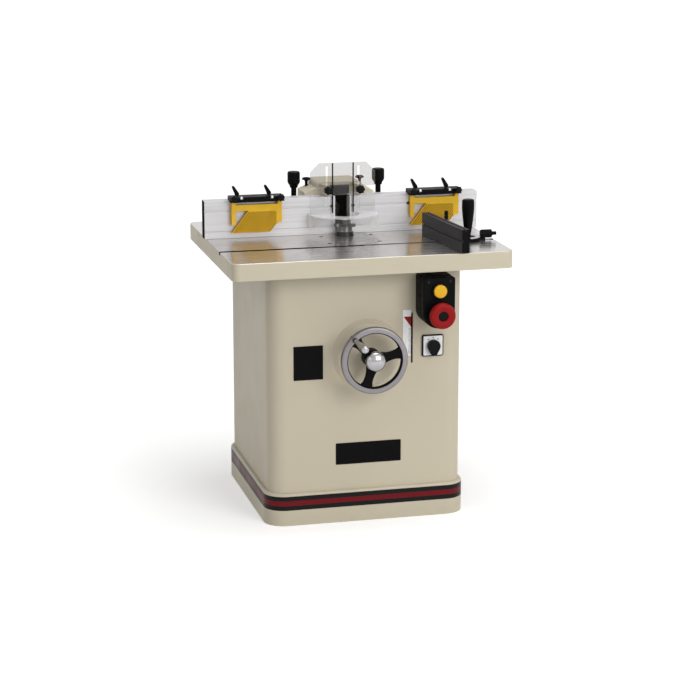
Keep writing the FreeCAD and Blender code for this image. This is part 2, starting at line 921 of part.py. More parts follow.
def carriage():
    tall = (carriage_bottom, carriage_top)
    plate = block("carriage_plate", both(carriage_half), (carriage_front, carriage_back), tall)
    pieces = [plate]
    for name, side in (("left", -1), ("right", 1)):
        inner = (d.way_half_width + d.slide_gap) * side
        outer = carriage_half * side
        keeper = (d.way_half_width - d.keeper_width) * side
        edges = sorted((inner, outer), key=lambda size: size.value)
        keeper_edges = sorted((keeper, outer), key=lambda size: size.value)
        pieces.append(block("jaw_" + name, edges, (keeper_front, carriage_back), tall))
        pieces.append(block("keeper_" + name, keeper_edges, (keeper_front, keeper_back), tall))
        for row, reach in (("front", -d.motor_post_reach), ("back", d.motor_post_reach)):
            pieces.append(rod("motor_post_{}_{}".format(name, row), "z",
                              (d.motor_post_side * side, d.motor_back + reach),
                              (motor_top + d.motor_flange, housing_bottom), d.motor_post_radius))
    housing_radius = d.cartridge_radius + d.housing_wall
    pieces.append(rod("cartridge_housing", "z", axis_at, (housing_bottom, carriage_top),
                      housing_radius))
    pieces.append(block("motor_plate", both(d.motor_plate_half),
                        (d.cartridge_radius, d.motor_back + d.motor_flange_radius),
                        (housing_bottom, housing_bottom + d.motor_plate)))
    pieces.append(block("nut_arm", both(d.nut_arm_half),
                        (-d.screw_forward - d.nut_arm_half, carriage_back), (nut_bottom, nut_top)))
    bore = rod("cartridge_bore", "z", axis_at, (carriage_bottom, carriage_top + d.overrun),
               d.cartridge_radius + d.turn_gap)
    nut_bore = rod("nut_bore", "z", screw_at, (nut_bottom - d.overrun, nut_top + d.overrun),
                   d.nut_radius)
    return cut("carriage", fuse("carriage_mass", *pieces), bore, nut_bore)


def lift_nut():
    low = nut_bottom - d.nut_flange
    flange = d.nut_radius + d.nut_flange
    return turned("lift_nut", "z", screw_at,
                  [(screw_bore, low), (flange, low), (flange, nut_bottom),
                   (d.nut_radius, nut_bottom), (d.nut_radius, nut_top), (screw_bore, nut_top)])


def lead_screw():
    screw = rod("screw_thread", "z", screw_at, (screw_bottom, screw_top), d.screw_radius)
    gear = cone("screw_gear", "z", screw_at,
                (wheel_height - d.bevel_far, wheel_height - d.bevel_near),
                (d.bevel_far - d.slide_gap, d.bevel_near - d.slide_gap))
    return fuse("lead_screw", screw, gear)


def depth_pointer():
    x = centred(d.slot_x, d.pointer_thick)
    z = (pointer_bottom, pointer_bottom + d.pointer_height)
    root = (keeper_front, keeper_front + d.pointer_height)
    bar = block("pointer_bar", (carriage_half, x[1]), root, z)
    needle = block("pointer_needle", x, (front_wall - d.pointer_proud, root[1]), z)
    return fuse("depth_pointer", bar, needle)


# Spindle

def spindle_cartridge():
    low, high = cartridge_bottom, cartridge_top
    seat = d.bearing_height + d.bearing_lip
    outline = [(d.bearing_radius, low), (d.cartridge_radius, low), (d.cartridge_radius, high),
               (d.bearing_radius, high), (d.bearing_radius, high - seat),
               (d.cartridge_bore_radius, high - seat), (d.cartridge_bore_radius, low + seat),
               (d.bearing_radius, low + seat)]
    return turned("spindle_cartridge", "z", axis_at, outline)


def spindle_bearings():
    inner = d.spindle_radius + d.turn_gap
    low = cartridge_bottom + d.bearing_lip
    high = cartridge_top - d.bearing_lip
    lower = ring("bearing_lower", "z", axis_at, (low, low + d.bearing_height), inner, d.bearing_radius)
    upper = ring("bearing_upper", "z", axis_at, (high - d.bearing_height, high), inner, d.bearing_radius)
    return group("spindle_bearings", lower, upper)


collar_top = arbor_bottom + d.base_collar_height
spacer_top = collar_top + d.spacer_height
cutter_top = spacer_top + d.cutter_height
spindle_nut_top = cutter_top + d.nut_tall


def spindle_shaft():
    arbor_top = spindle_nut_top + d.arbor_proud
    outline = [(ZERO, spindle_bottom), (d.spindle_radius, spindle_bottom),
               (d.spindle_radius, arbor_bottom), (d.arbor_radius, arbor_bottom),
               (d.arbor_radius, arbor_top), (ZERO, arbor_top)]
    return turned("spindle_shaft", "z", axis_at, outline)


def base_collar():
    return ring("base_collar", "z", axis_at, (arbor_bottom, collar_top), d.arbor_radius,
                d.base_collar_radius)


def spacer_collar():
    return ring("spacer_collar", "z", axis_at, (collar_top, spacer_top), d.arbor_radius, d.spacer_radius)


def cutter_head():
    span = (spacer_top, cutter_top)
    pieces = [rod("cutter_hub", "z", axis_at, span, d.cutter_hub_radius)]
    half = d.cutter_wing / 2
    tip = (d.cutter_radius * d.cutter_radius - half * half).root()
    for index in range(SIZES["cutter_wings"]):
        angle = SIZES["cutter_turn"] + 360 / SIZES["cutter_wings"] * index
        wing = prism("cutter_wing_{}".format(index), "xy",
                     [(ZERO, -half), (tip, -half), (tip, half), (ZERO, half)], span)
        place(wing, (ZERO, ZERO, span[0]), FreeCAD.Rotation(Z_AXIS, angle))
        pieces.append(wing)
    bore = rod("cutter_bore", "z", axis_at, (span[0] - d.overrun, span[1] + d.overrun), d.arbor_radius)
    return cut("cutter_head", fuse("cutter_mass", *pieces), bore)


def spindle_nut():
    corner = d.nut_across / math.sqrt(3)
    outline = [swing(corner, 60 * index) for index in range(6)]
    body = prism("nut_mass", "xy", outline, (cutter_top, spindle_nut_top))
    bore = rod("nut_thread", "z", axis_at, (cutter_top - d.overrun, spindle_nut_top + d.overrun),
               d.arbor_radius)
    return cut("spindle_nut", body, bore)


def pulley(name, at, bore, radius):
    low, high = pulley_span
    floor = radius - d.pulley_rim
    outline = [(bore, low), (radius, low), (radius, low + d.pulley_rim), (floor, low + d.pulley_rim),
               (floor, high - d.pulley_rim), (radius, high - d.pulley_rim), (radius, high), (bore, high)]
    return turned(name, "z", at, outline)


def spindle_pulley():
    return pulley("spindle_pulley", axis_at, d.spindle_radius, d.spindle_pulley_radius)


# Motor

def motor():
    at = motor_at
    low = motor_bottom - d.fan_cover
    high = motor_top + d.motor_flange
    seat = d.motor_shaft_radius + d.turn_gap
    outline = [(ZERO, low), (d.fan_cover_radius, low), (d.fan_cover_radius, motor_bottom),
               (d.motor_radius, motor_bottom), (d.motor_radius, motor_top),
               (d.motor_flange_radius, motor_top), (d.motor_flange_radius, high), (seat, high),
               (seat, high - d.motor_shaft_seat), (ZERO, high - d.motor_shaft_seat)]
    frame = turned("motor_frame", "z", at, outline)
    middle = (motor_bottom + motor_top) / 2
    terminal_x = (d.motor_radius - d.terminal_deep, d.motor_radius + d.terminal_proud)
    terminals = block("terminal_box", terminal_x,
                      centred(d.motor_back, d.terminal_width), centred(middle, d.terminal_height))
    return fuse("motor", frame, terminals)


def motor_shaft():
    low = motor_top + d.motor_flange - d.motor_shaft_seat + d.slide_gap
    return rod("motor_shaft", "z", motor_at, (low, motor_shaft_top), d.motor_shaft_radius)


def motor_pulley():
    return pulley("motor_pulley", motor_at, d.motor_shaft_radius, d.motor_pulley_radius)


def belt_loop(name, grow, span):
    """The solid inside a loop round both pulleys, larger by grow than the pulley floors."""
    small = d.spindle_pulley_radius - d.pulley_rim + grow
    large = d.motor_pulley_radius - d.pulley_rim + grow
    sine = (large - small) / d.motor_back
    cosine = (1 - sine * sine).root()
    sides = prism(name + "_sides", "xy",
                  [(small * cosine, -small * sine), (large * cosine, d.motor_back - large * sine),
                   (-large * cosine, d.motor_back - large * sine), (-small * cosine, -small * sine)], span)
    return fuse(name, sides, rod(name + "_front", "z", axis_at, span, small),
                rod(name + "_back", "z", motor_at, span, large))


def drive_belt():
    middle = (pulley_span[0] + pulley_span[1]) / 2
    span = centred(middle, d.belt_width)
    outside = belt_loop("belt_outside", d.slide_gap + d.belt_thick, span)
    inside = belt_loop("belt_inside", d.slide_gap, (span[0] - d.overrun, span[1] + d.overrun))
    return cut("drive_belt", outside, inside)


# Handwheel

crank_radius = d.wheel_radius - d.rim_width / 2
crank_angle = SIZES["spoke_turn"] + 360 / SIZES["spoke_count"]
crank_x, crank_rise = swing(crank_radius, crank_angle)
crank_at = (crank_x, wheel_height + crank_rise)


def handwheel():
    rim = ring("wheel_rim", "y", wheel_at, (rim_front, rim_back),
               d.wheel_radius - d.rim_width, d.wheel_radius)
    rounded(rim, d.rim_round, lambda edge: isinstance(edge.Curve, Part.Circle))
    hub = rod("wheel_hub", "y", wheel_at, (hub_front_face, hub_back_face), d.hub_radius)
    middle = (rim_front + rim_back) / 2
    pieces = [rim, hub]
    root, waist, tip = d.spoke_root_width / 2, d.spoke_waist_width / 2, d.spoke_tip_width / 2
    reach = d.wheel_radius - d.rim_width / 2
    near = d.hub_radius + d.spoke_flare
    far = d.wheel_radius - d.rim_width - d.spoke_flare
    upper = [(reach, tip), (reach - d.rim_width / 2, tip), (far, waist), (near, waist),
             (d.hub_radius, root), (ZERO, root)]
    lower = [(along, -across) for along, across in reversed(upper)]
    for index in range(SIZES["spoke_count"]):
        spoke = prism("spoke_{}".format(index), "xz", upper + lower, centred(middle, d.spoke_deep))
        angle = SIZES["spoke_turn"] + 360 / SIZES["spoke_count"] * index
        place(spoke, (ZERO, middle + d.spoke_deep / 2, wheel_height), FreeCAD.Rotation(Y_AXIS, -angle))
        pieces.append(spoke)
    shaft_hole = rod("wheel_bore", "y", wheel_at, (hub_front_face - d.overrun, hub_back_face + d.overrun),
                     d.shaft_radius)
    crank_hole = rod("crank_bore", "y", crank_at, (rim_front - d.overrun, rim_back + d.overrun),
                     d.crank_pin_radius + d.turn_gap)
    return cut("handwheel", fuse("wheel_mass", *pieces), shaft_hole, crank_hole)


def handwheel_shaft():
    apex = -d.screw_forward
    shaft = rod("wheel_shaft", "y", wheel_at,
                (hub_back_face - d.shaft_seat, apex - d.bevel_near), d.shaft_radius)
    pinion = cone("wheel_pinion", "y", wheel_at, (apex - d.bevel_far, apex - d.bevel_near),
                  (d.bevel_far - d.slide_gap, d.bevel_near - d.slide_gap))
    return fuse("handwheel_shaft", shaft, pinion)


def crank_handle():
    start = rim_front - d.slide_gap
    tail = rim_back + d.slide_gap
    length = d.crank_length
    neck, swell, full, crown = [start - length * share for share in CRANK_BULGE_SHARES]
    end = start - length
    outline = [(ZERO, tail + d.crank_nut), (d.crank_nut_radius, tail + d.crank_nut),
               (d.crank_nut_radius, tail), (d.crank_pin_radius, tail), (d.crank_pin_radius, start),
               (d.crank_root_radius, start), (d.crank_root_radius, neck), (d.crank_neck_radius, swell),
               (d.crank_grip_radius, full), (d.crank_grip_radius, crown),
               (d.crank_neck_radius, end), (ZERO, end)]
    return turned("crank_handle", "y", crank_at, outline)


def lock_knob():
    start = hub_front_face - d.slide_gap
    skirt = start - d.lock_skirt
    crown = start - d.lock_deep
    shoulder = (skirt + crown) / 2
    stud_end = hub_back_face - d.shaft_seat - d.slide_gap
    outline = [(ZERO, stud_end), (d.lock_stud_radius, stud_end),
               (d.lock_stud_radius, start), (d.hub_radius, start), (d.lock_radius, skirt),
               ((d.lock_radius + d.lock_face_radius) / 2, shoulder),
               (d.lock_face_radius, crown), (ZERO, crown)]
    return turned("lock_knob", "y", wheel_at, outline)


# Front controls

box_middle = d.box_left + d.box_width / 2
box_face = front_wall - d.box_deep
box_top = underside - d.box_drop
start_at = (box_middle, box_top - d.start_drop)
stop_at = (box_middle, box_top - d.stop_drop)
selector_at = (d.selector_x, box_top - d.selector_drop)


def switch_box():
    right = d.box_left + d.box_width
    low = box_top - d.box_straight
    chamfer = d.box_chamfer
    depth = (box_face, front_wall)
    upper = prism("box_upper", "xz",
                  [(d.box_left, low), (right, low), (right, box_top - chamfer),
                   (right - chamfer, box_top), (d.box_left + chamfer, box_top),
                   (d.box_left, box_top - chamfer)], depth)
    lower = rod("box_lower", "y", (box_middle, low), depth, d.box_width / 2)
    wall = d.box_wall
    cavity_depth = (box_face + d.box_front_wall, front_wall + d.overrun)
    cavity = block("box_cavity", (d.box_left + wall, right - wall), cavity_depth,
                   (low, box_top - chamfer - wall))
    start_bore = rod("start_bore", "y", start_at, (box_face - d.overrun, cavity_depth[0] + d.overrun),
                     d.start_radius + d.slide_gap)
    stop_bore = rod("stop_bore", "y", stop_at, (box_face - d.overrun, cavity_depth[0] + d.overrun),
                    d.stop_stem_radius + d.slide_gap)
    return cut("switch_box", fuse("box_mass", upper, lower), cavity, start_bore, stop_bore)


def start_button():
    front = box_face - d.start_proud
    return rod("start_button", "y", start_at, (front, front + d.start_deep), d.start_radius)


def stop_button():
    back = box_face - d.stop_travel - d.slide_gap - d.stop_stand
    front = back - d.stop_deep
    well = front + d.stop_core_deep
    stem_end = box_face + d.stop_stem
    half_round = d.stop_round / 2
    outline = [(ZERO, stem_end), (d.stop_stem_radius, stem_end), (d.stop_stem_radius, back),
               (d.stop_radius, back), (d.stop_radius, front + d.stop_round),
               (d.stop_radius - half_round, front + half_round / 2), (d.stop_radius - d.stop_round, front),
               (d.stop_core_radius, front), (d.stop_core_radius, well), (ZERO, well)]
    return turned("stop_button", "y", stop_at, outline)


def selector_plate():
    x, z = selector_at
    half = d.selector_width / 2
    depth = (front_wall - d.selector_deep, front_wall)
    plate = prism("selector_mass", "xz",
                  [(x - half, z - half), (x + half, z - half), (x + half, z + half), (x - half, z + half)],
                  depth)
    rounded(plate, d.selector_corner, runs_along(Y_AXIS))
    bore = rod("selector_bore", "y", selector_at, (depth[0] - d.overrun, depth[0] + d.knob_stem),
               d.knob_stem_radius + d.turn_gap)
    return cut("selector_plate", plate, bore)


def selector_knob():
    x, z = selector_at
    back = front_wall - d.selector_deep - d.slide_gap
    front = back - d.knob_deep
    dial = rod("knob_dial", "y", selector_at, (front, back), d.knob_radius)
    tail = prism("knob_tail", "xz",
                 [(x - d.knob_tail_width, z), (x + d.knob_tail_width, z),
                  (x + d.knob_tail_width / 2, z - d.knob_tail),
                  (x - d.knob_tail_width / 2, z - d.knob_tail)], (front, back))
    stem = rod("knob_stem", "y", selector_at, (back, back + d.knob_stem), d.knob_stem_radius)
    return fuse("selector_knob", dial, tail, stem)


def front_plates():
    depth = (front_wall - d.plate_thick, front_wall)
    scale_bottom = slot_bottom + d.scale_lift
    scale = block("scale_strip", (d.scale_left, d.scale_left + d.scale_width), depth,
                  (scale_bottom, scale_bottom + d.scale_height))
    label = block("label_plate", centred(d.label_x, d.label_width), depth,
                  centred(wheel_height - d.label_below_wheel, d.label_height))
    name_plate = block("name_plate", centred(d.name_plate_x, d.name_plate_width), depth,
                       centred(d.name_plate_z, d.name_plate_height))
    return group("front_plates", scale, label, name_plate)


# Fence

hood_front = fence_back + d.slide_gap
guard_front = d.fence_face - d.slide_gap - d.guard_thick
guard_back = d.fence_face - d.slide_gap
guard_bolt_height = top + d.guard_bolt_z
visor_low = top + d.visor_bottom
visor_high = visor_low + d.visor_height


def fence_half(name, side):
    inner = d.fence_gap / 2
    outer = d.fence_reach
    depth = (d.fence_face, fence_back)
    tall = (fence_foot, fence_top)
    body = prism(name + "_mass", "xz",
                 [(inner * side, tall[0]), (outer * side, tall[0]), (outer * side, tall[1]),
                  (inner * side, tall[1])], depth)
    rounded(body, d.fence_top_round, lambda edge: runs_along(Y_AXIS)(edge) and all(
        abs(vertex.Point.x - outer.value * side) < TOUCH and abs(vertex.Point.z - tall[1].value) < TOUCH
        for vertex in edge.Vertexes))
    span = sorted(((inner - d.overrun) * side, (outer - d.fence_wall) * side), key=lambda size: size.value)
    whole = sorted(((inner - d.overrun) * side, (outer + d.overrun) * side), key=lambda size: size.value)
    wall = d.fence_wall
    face = (d.fence_face - d.overrun, d.fence_face + d.fence_groove_deep)
    cavity = block(name + "_cavity", span, (depth[0] + wall + d.fence_groove_deep, depth[1] - wall),
                   (tall[0] + wall, tall[1] - wall))
    groove_top = tall[1] - d.fence_groove_drop
    groove = block(name + "_groove", whole, face, (groove_top - d.fence_groove, groove_top))
    line_top = tall[1] - d.fence_line_drop
    line = block(name + "_line", whole, face, (line_top - d.fence_line, line_top))
    return cut(name, body, cavity, groove, line)


def fence_hood():
    half = d.hood_half_width
    roof = top + d.hood_height
    inner_back = d.hood_back - d.hood_wall
    mouth_top = top + d.hood_mouth_height
    chamber_half = half - d.hood_wall
    shell = prism("hood_mass", "xz", [(-half, fence_foot), (half, fence_foot), (half, roof), (-half, roof)],
                  (hood_front, d.hood_back))
    rounded(shell, d.hood_round, lambda edge: runs_along(Y_AXIS)(edge) and lies_at("z", roof)(edge))
    pieces = [shell]
    port_at = (-d.port_side, top + d.port_z)
    pieces.append(rod("port_pipe", "y", port_at, (inner_back, d.hood_back + d.port_length), d.port_radius))
    arm_z = centred(guard_bolt_height, d.guard_arm_height)
    cuts = []
    for name, side in (("left", -1), ("right", 1)):
        edge = half * side
        reach = d.shoulder_reach * side
        shoulder = [(edge / 2, fence_foot), (reach, fence_foot), (reach, top + d.shoulder_end_height),
                    (edge, top + d.shoulder_height), (edge / 2, top + d.shoulder_height)]
        pieces.append(prism("shoulder_" + name, "xz", shoulder, (hood_front, d.shoulder_back)))
        foot = sorted((edge, d.foot_reach * side), key=lambda size: size.value)
        pieces.append(block("foot_" + name, foot, (hood_front, d.foot_back),
                            (fence_foot, fence_foot + d.foot_thick)))
        arm_x = centred(d.guard_slot_x * side, 2 * d.guard_arm_half)
        pieces.append(block("guard_arm_" + name, arm_x,
                            (d.fence_face + d.slide_gap, hood_front + d.hood_wall), arm_z))
        slot_x = centred(d.clamp_x * side, 2 * (d.clamp_stud_radius + d.foot_slot_gap))
        cuts.append(block("foot_slot_" + name, slot_x,
                          centred(d.clamp_y, 2 * (d.foot_slot_travel + d.clamp_stud_radius)),
                          (fence_foot - d.overrun, fence_foot + d.foot_thick + d.overrun)))
        cuts.append(rod("guard_bolt_bore_" + name, "y", (d.guard_slot_x * side, guard_bolt_height),
                        (d.fence_face, d.fence_face + d.guard_stud + d.slide_gap),
                        d.guard_slot_width / 2))
        cuts.append(rod("lock_bore_" + name, "z", (d.lock_knob_x * side, d.lock_knob_y),
                        (top + d.shoulder_end_height - d.lock_knob_stud, roof + d.overrun),
                        d.lock_knob_stem_radius + d.turn_gap))
    cuts.append(block("hood_mouth", both(d.hood_mouth_half),
                      (hood_front - d.overrun, hood_front + d.hood_wall),
                      (fence_foot - d.overrun, mouth_top)))
    cuts.append(block("hood_chamber", both(chamber_half), (hood_front + d.hood_wall, inner_back),
                      (fence_foot - d.overrun, mouth_top)))
    port_end = d.hood_back + d.port_length
    cuts.append(rod("port_bore", "y", port_at, (inner_back - d.overrun, port_end + d.overrun),
                    d.port_radius - d.port_wall))
    return cut("fence_hood", fuse("hood_with_feet", *pieces), *cuts)


def clamp_handle(name, side):
    foot_top = fence_foot + d.foot_thick + d.slide_gap
    crown = top + d.clamp_top
    head = crown - d.clamp_head
    neck = head - d.clamp_neck
    washer_top = foot_top + d.clamp_washer
    outline = [(ZERO, top - d.clamp_stud_deep), (d.clamp_stud_radius, top - d.clamp_stud_deep),
               (d.clamp_stud_radius, foot_top), (d.clamp_washer_radius, foot_top),
               (d.clamp_washer_radius, washer_top), (d.clamp_stem_radius, washer_top),
               (d.clamp_stem_radius, neck), (d.clamp_neck_radius, neck), (d.clamp_neck_radius, head),
               (d.clamp_head_radius, head + d.clamp_washer), (d.clamp_head_radius, crown), (ZERO, crown)]
    return turned(name, "z", (d.clamp_x * side, d.clamp_y), outline)


def fence_lock(name, side):
    """A small mushroom knob, whose stud goes down into the sloping shoulder of the hood."""
    slope_share = (d.lock_knob_x - d.hood_half_width) / (d.shoulder_reach - d.hood_half_width)
    seat = top + d.shoulder_height - (d.shoulder_height - d.shoulder_end_height) * slope_share
    base = seat + d.lock_knob_stem_radius
    cap = base + d.lock_knob_stem
    crown = cap + d.lock_knob_cap
    low = top + d.shoulder_end_height - d.lock_knob_stud + d.slide_gap
    outline = [(ZERO, low), (d.lock_knob_stem_radius, low), (d.lock_knob_stem_radius, cap),
               (d.lock_knob_cap_radius, cap), (d.lock_knob_cap_radius, (cap + crown) / 2),
               (d.lock_knob_stem_radius, crown), (ZERO, crown)]
    return turned(name, "z", (d.lock_knob_x * side, d.lock_knob_y), outline)


# Guard

def guard_plate():
    low, high = top + d.guard_bottom, top + d.guard_top
    half = d.guard_half_width
    chamfer = d.guard_chamfer
    depth = (guard_front, guard_back)
    sheet_body = prism("guard_sheet", "xz",
                       [(-half, low), (half, low), (half, high - chamfer), (half - chamfer, high),
                        (chamfer - half, high), (-half, high - chamfer)], depth)
    pieces = [sheet_body]
    through = (depth[0] - d.overrun, depth[1] + d.overrun)
    cuts = [block("guard_notch", both(d.guard_notch_half), through,
                  (low - d.overrun, top + d.guard_notch_top))]
    for name, side in (("left", -1), ("right", 1)):
        rib_middle = (d.guard_notch_half + d.guard_rib / 2) * side
        pieces.append(block("guard_rib_" + name, centred(rib_middle, d.guard_rib),
                            (guard_front - d.guard_thick, guard_front), (visor_high, high)))
        cuts.append(block("guard_slot_" + name, centred(d.guard_slot_x * side, d.guard_slot_width), through,
                          (top + d.guard_slot_bottom, top + d.guard_slot_top)))
    return cut("guard_plate", fuse("guard_blank", *pieces), *cuts)


def guard_visor():
    at = (ZERO, guard_front)
    low, high = visor_low, visor_high
    thick = d.visor_thick
    drum = rod("visor_drum", "z", at, (low, high), d.visor_radius)
    hollow = rod("visor_hollow", "z", at, (low - d.overrun, high - thick), d.visor_radius - thick)
    hole = rod("visor_hole", "z", axis_at, (low, high + d.overrun), d.visor_hole_radius)
    back_half = block("visor_back_half", both(d.visor_radius + d.overrun),
                      (guard_front, guard_front + d.visor_radius + d.overrun),
                      (low - d.overrun, high + d.overrun))
    return cut("guard_visor", drum, hollow, hole, back_half)


def guard_knob(name, side):
    back = guard_front - d.slide_gap
    neck = back - d.guard_knob_neck
    front = back - d.guard_knob_deep
    stud_end = d.fence_face + d.guard_stud
    stud = d.guard_slot_width / 2 - d.turn_gap
    edge = d.guard_knob_radius - d.guard_knob_round
    outline = [(ZERO, stud_end), (stud, stud_end), (stud, back), (d.guard_knob_neck_radius, back),
               (d.guard_knob_neck_radius, neck), (d.guard_knob_radius, neck),
               (d.guard_knob_radius, front + d.guard_knob_round), (edge, front), (ZERO, front)]
    return turned(name, "y", (d.guard_slot_x * side, guard_bolt_height), outline)


# Feather boards

bar_low = fence_top - d.feather_bar_low
bar_high = fence_top + d.feather_bar_high
comb_back = d.fence_face - d.feather_comb_stand
comb_front = comb_back - d.feather_comb_thick
rail_gap = d.slide_gap


def feather_rails(left):
    """The two spans along X that the rails of a comb take up."""
    start = left + d.feather_comb_inset
    end = start + d.feather_comb_width
    return ((start, start + d.feather_rail), (end - d.feather_rail, end))


def feather_bar(name, left):
    right = left + d.feather_bar_length
    front = d.fence_face - d.feather_bar_front
    beam = block(name + "_beam", (left, right), (front, d.fence_face), (bar_low, bar_high))
    hook = block(name + "_hook", (left, right), (d.fence_face, d.fence_face + d.feather_hook),
                 (fence_top, bar_high))
    pieces = [beam, hook]
    cuts = []
    for index, (start, end) in enumerate(feather_rails(left)):
        knob_at = ((start + end) / 2, (bar_low + bar_high) / 2)
        neck = front - d.feather_knob_neck
        pieces.append(rod("{}_neck_{}".format(name, index), "y", knob_at, (neck, front),
                          d.feather_neck_radius))
        pieces.append(rod("{}_knob_{}".format(name, index), "y", knob_at,
                          (neck - d.feather_knob_deep, neck), d.feather_knob_radius))
        cuts.append(block("{}_rail_slot_{}".format(name, index), (start - rail_gap, end + rail_gap),
                          (comb_front - rail_gap, comb_back + rail_gap),
                          (bar_low - d.overrun, bar_high + d.overrun)))
    for index, share in enumerate(FEATHER_HOLE_SHARES):
        cuts.append(rod("{}_hole_{}".format(name, index), "y",
                        (left + d.feather_bar_length * share, (fence_top + bar_high) / 2),
                        (front - d.overrun, d.fence_face + d.feather_hook + d.overrun),
                        d.feather_hole_radius))
    return cut(name, fuse(name + "_mass", *pieces), *cuts)


def feather_comb(name, left):
    rails = feather_rails(left)
    start, end = rails[0][0], rails[1][1]
    beam_low, beam_high = top + d.feather_beam_bottom, top + d.feather_beam_top
    rail_top, rail_foot = top + d.feather_rail_top, top + d.feather_rail_bottom
    tip = top + d.feather_tip
    heel = top + d.feather_heel
    heel_start = end - d.feather_heel_width
    outline = [(start, rail_foot), (rails[0][1], rail_foot), (rails[0][1], beam_low),
               (start + d.feather_lean, beam_low), (start, tip), (heel_start - d.feather_heel_run, tip),
               (heel_start, heel), (end, heel), (end, rail_top), (rails[1][0], rail_top),
               (rails[1][0], beam_high), (rails[0][1], beam_high), (rails[0][1], rail_top),
               (start, rail_top)]
    blank = prism(name + "_blank", "xz", outline, (comb_front, comb_back))
    rise = d.feather_beam_bottom - d.feather_tip
    angle = math.degrees(math.atan2(rise.value, d.feather_lean.value))
    length = (rise * rise + d.feather_lean * d.feather_lean).root()
    run_in, drop_in = swing(d.overrun, angle)
    slits = []
    tip_line = d.feather_comb_width - d.feather_heel_width - d.feather_heel_run
    for index in range(1, int((tip_line / d.feather_pitch).value) + 1):
        foot = start + d.feather_pitch * index
        room = d.feather_comb_width - d.feather_rail - d.feather_pitch * index
        run = min(d.feather_lean, room, key=lambda size: size.value)
        reach = length * run / d.feather_lean - d.feather_root + d.overrun
        slit = block("{}_slit_{}".format(name, index), (ZERO, reach),
                     (ZERO, d.feather_comb_thick + 2 * d.overrun), (ZERO, d.feather_slit))
        place(slit, (foot - run_in, comb_front - d.overrun, tip - drop_in),
              FreeCAD.Rotation(Y_AXIS, -angle))
        slits.append(slit)
    return cut(name, blank, *slits)


def cam_lever(name, left, share):
    """A clamp lever that leans to the left on its hub above the bar."""
    x = left + d.feather_bar_length * share
    z = bar_high + d.slide_gap + d.cam_radius
    depth = centred(d.fence_face, d.cam_width)
    hub = rod(name + "_hub", "y", (x, z), depth, d.cam_radius)
    arm = block(name + "_arm", both(d.cam_arm_width / 2), both(d.cam_width / 2), (ZERO, d.cam_arm))
    place(arm, (x, d.fence_face, z), FreeCAD.Rotation(Y_AXIS, -SIZES["cam_lean"]))
    half_width = d.cam_arm_width / 2
    lean = FreeCAD.Rotation(Y_AXIS, -SIZES["cam_lean"])
    side = lean.multVec(FreeCAD.Vector(-1, 0, 0))
    bind(arm, {"Placement.Base.x": x + half_width * side.x,
               "Placement.Base.y": d.fence_face - d.cam_width / 2,
               "Placement.Base.z": z + half_width * side.z})
    return fuse(name, hub, arm)


# Mitre gauge

head_low = top + d.slide_gap
head_top = head_low + d.mitre_head_thick
pivot_x = d.table_width / 2 - d.mitre_inset
pivot_at = (pivot_x, slot_y)
block_face = pivot_x - d.mitre_block_reach
block_back = block_face + d.mitre_block_thick
flange_back = block_back + d.mitre_flange_thick
flange_top = head_low + d.mitre_flange_height


def swung(thing):
    """Turns a finished piece of the gauge about the pivot, to the angle that it is set to."""
    x, y = pivot_at
    angle = SIZES["mitre_turn"]
    x_along, x_across = swing(x, angle)
    y_along, y_across = swing(y, angle)
    return place(thing, (x - x_along + y_across, y - y_along - x_across, ZERO),
                 FreeCAD.Rotation(Z_AXIS, angle))


def mitre_bar():
    bar_end = pivot_x + d.mitre_bar_tail
    x = (bar_end - d.mitre_bar_length, bar_end)
    bar_top = top - d.slide_gap
    width = d.mitre_slot_width - 2 * d.slide_gap
    bar = block("gauge_bar", x, centred(slot_y, width),
                (top - d.mitre_slot_deep + d.slide_gap, bar_top))
    pin = rod("gauge_pin", "z", pivot_at, (bar_top, head_top), d.mitre_pin_radius)
    plunger_at = (slot_y, top + d.plunger_z)
    plunger_start = pivot_x + d.plunger_reach
    end = plunger_start + d.plunger_length
    post = block("plunger_post", (plunger_start - d.plunger_post, plunger_start),
                 centred(slot_y, d.plunger_post), (bar_top, top + d.plunger_z))
    knob = rod("plunger_knob", "x", plunger_at, (plunger_start - d.plunger_post, end), d.plunger_radius)
    stub = rod("plunger_stub_rod", "x", plunger_at, (end, end + d.plunger_stub), d.plunger_stub_radius)
    return fuse("mitre_bar", bar, pin, post, knob, stub)


def mitre_head():
    tall = (head_low, head_top)
    disc = rod("head_disc", "z", pivot_at, tall, d.mitre_head_radius)
    neck = block("head_neck", (block_back, pivot_x), centred(slot_y, 2 * d.mitre_neck_half), tall)
    flange = block("head_flange", (block_back, flange_back), centred(slot_y, 2 * d.mitre_flange_half),
                   (head_low, flange_top))
    bore = rod("head_bore", "z", pivot_at, (head_low - d.overrun, head_top + d.overrun),
               d.mitre_pin_radius + d.turn_gap)
    boss = rod("lever_boss", "x", (-d.lever_y, top + d.lever_z), (block_back, flange_back),
               d.lever_hub_radius)
    rib = block("lever_rib", (block_back, flange_back), centred(-d.lever_y, 2 * d.lever_hub_radius),
                (head_low, top + d.lever_z))
    return swung(cut("mitre_head", fuse("head_mass", disc, neck, flange, boss, rib), bore))


def mitre_block():
    y = (-d.mitre_block_front, -d.mitre_block_back)
    z = (head_low, head_low + d.mitre_block_height)
    bar = block("block_mass", (block_face, block_back), y, z)
    middle = (z[0] + z[1]) / 2
    groove = block("block_groove", (block_face - d.overrun,
                                    block_face + d.mitre_block_groove_deep),
                   (y[0] - d.overrun, y[1] + d.overrun), centred(middle, d.mitre_block_groove))
    track = block("block_track", centred((block_face + block_back) / 2, d.mitre_block_groove),
                  (y[0] - d.overrun, y[1] + d.overrun),
                  (z[1] - d.mitre_block_groove_deep, z[1] + d.overrun))
    return swung(cut("mitre_block", bar, groove, track))


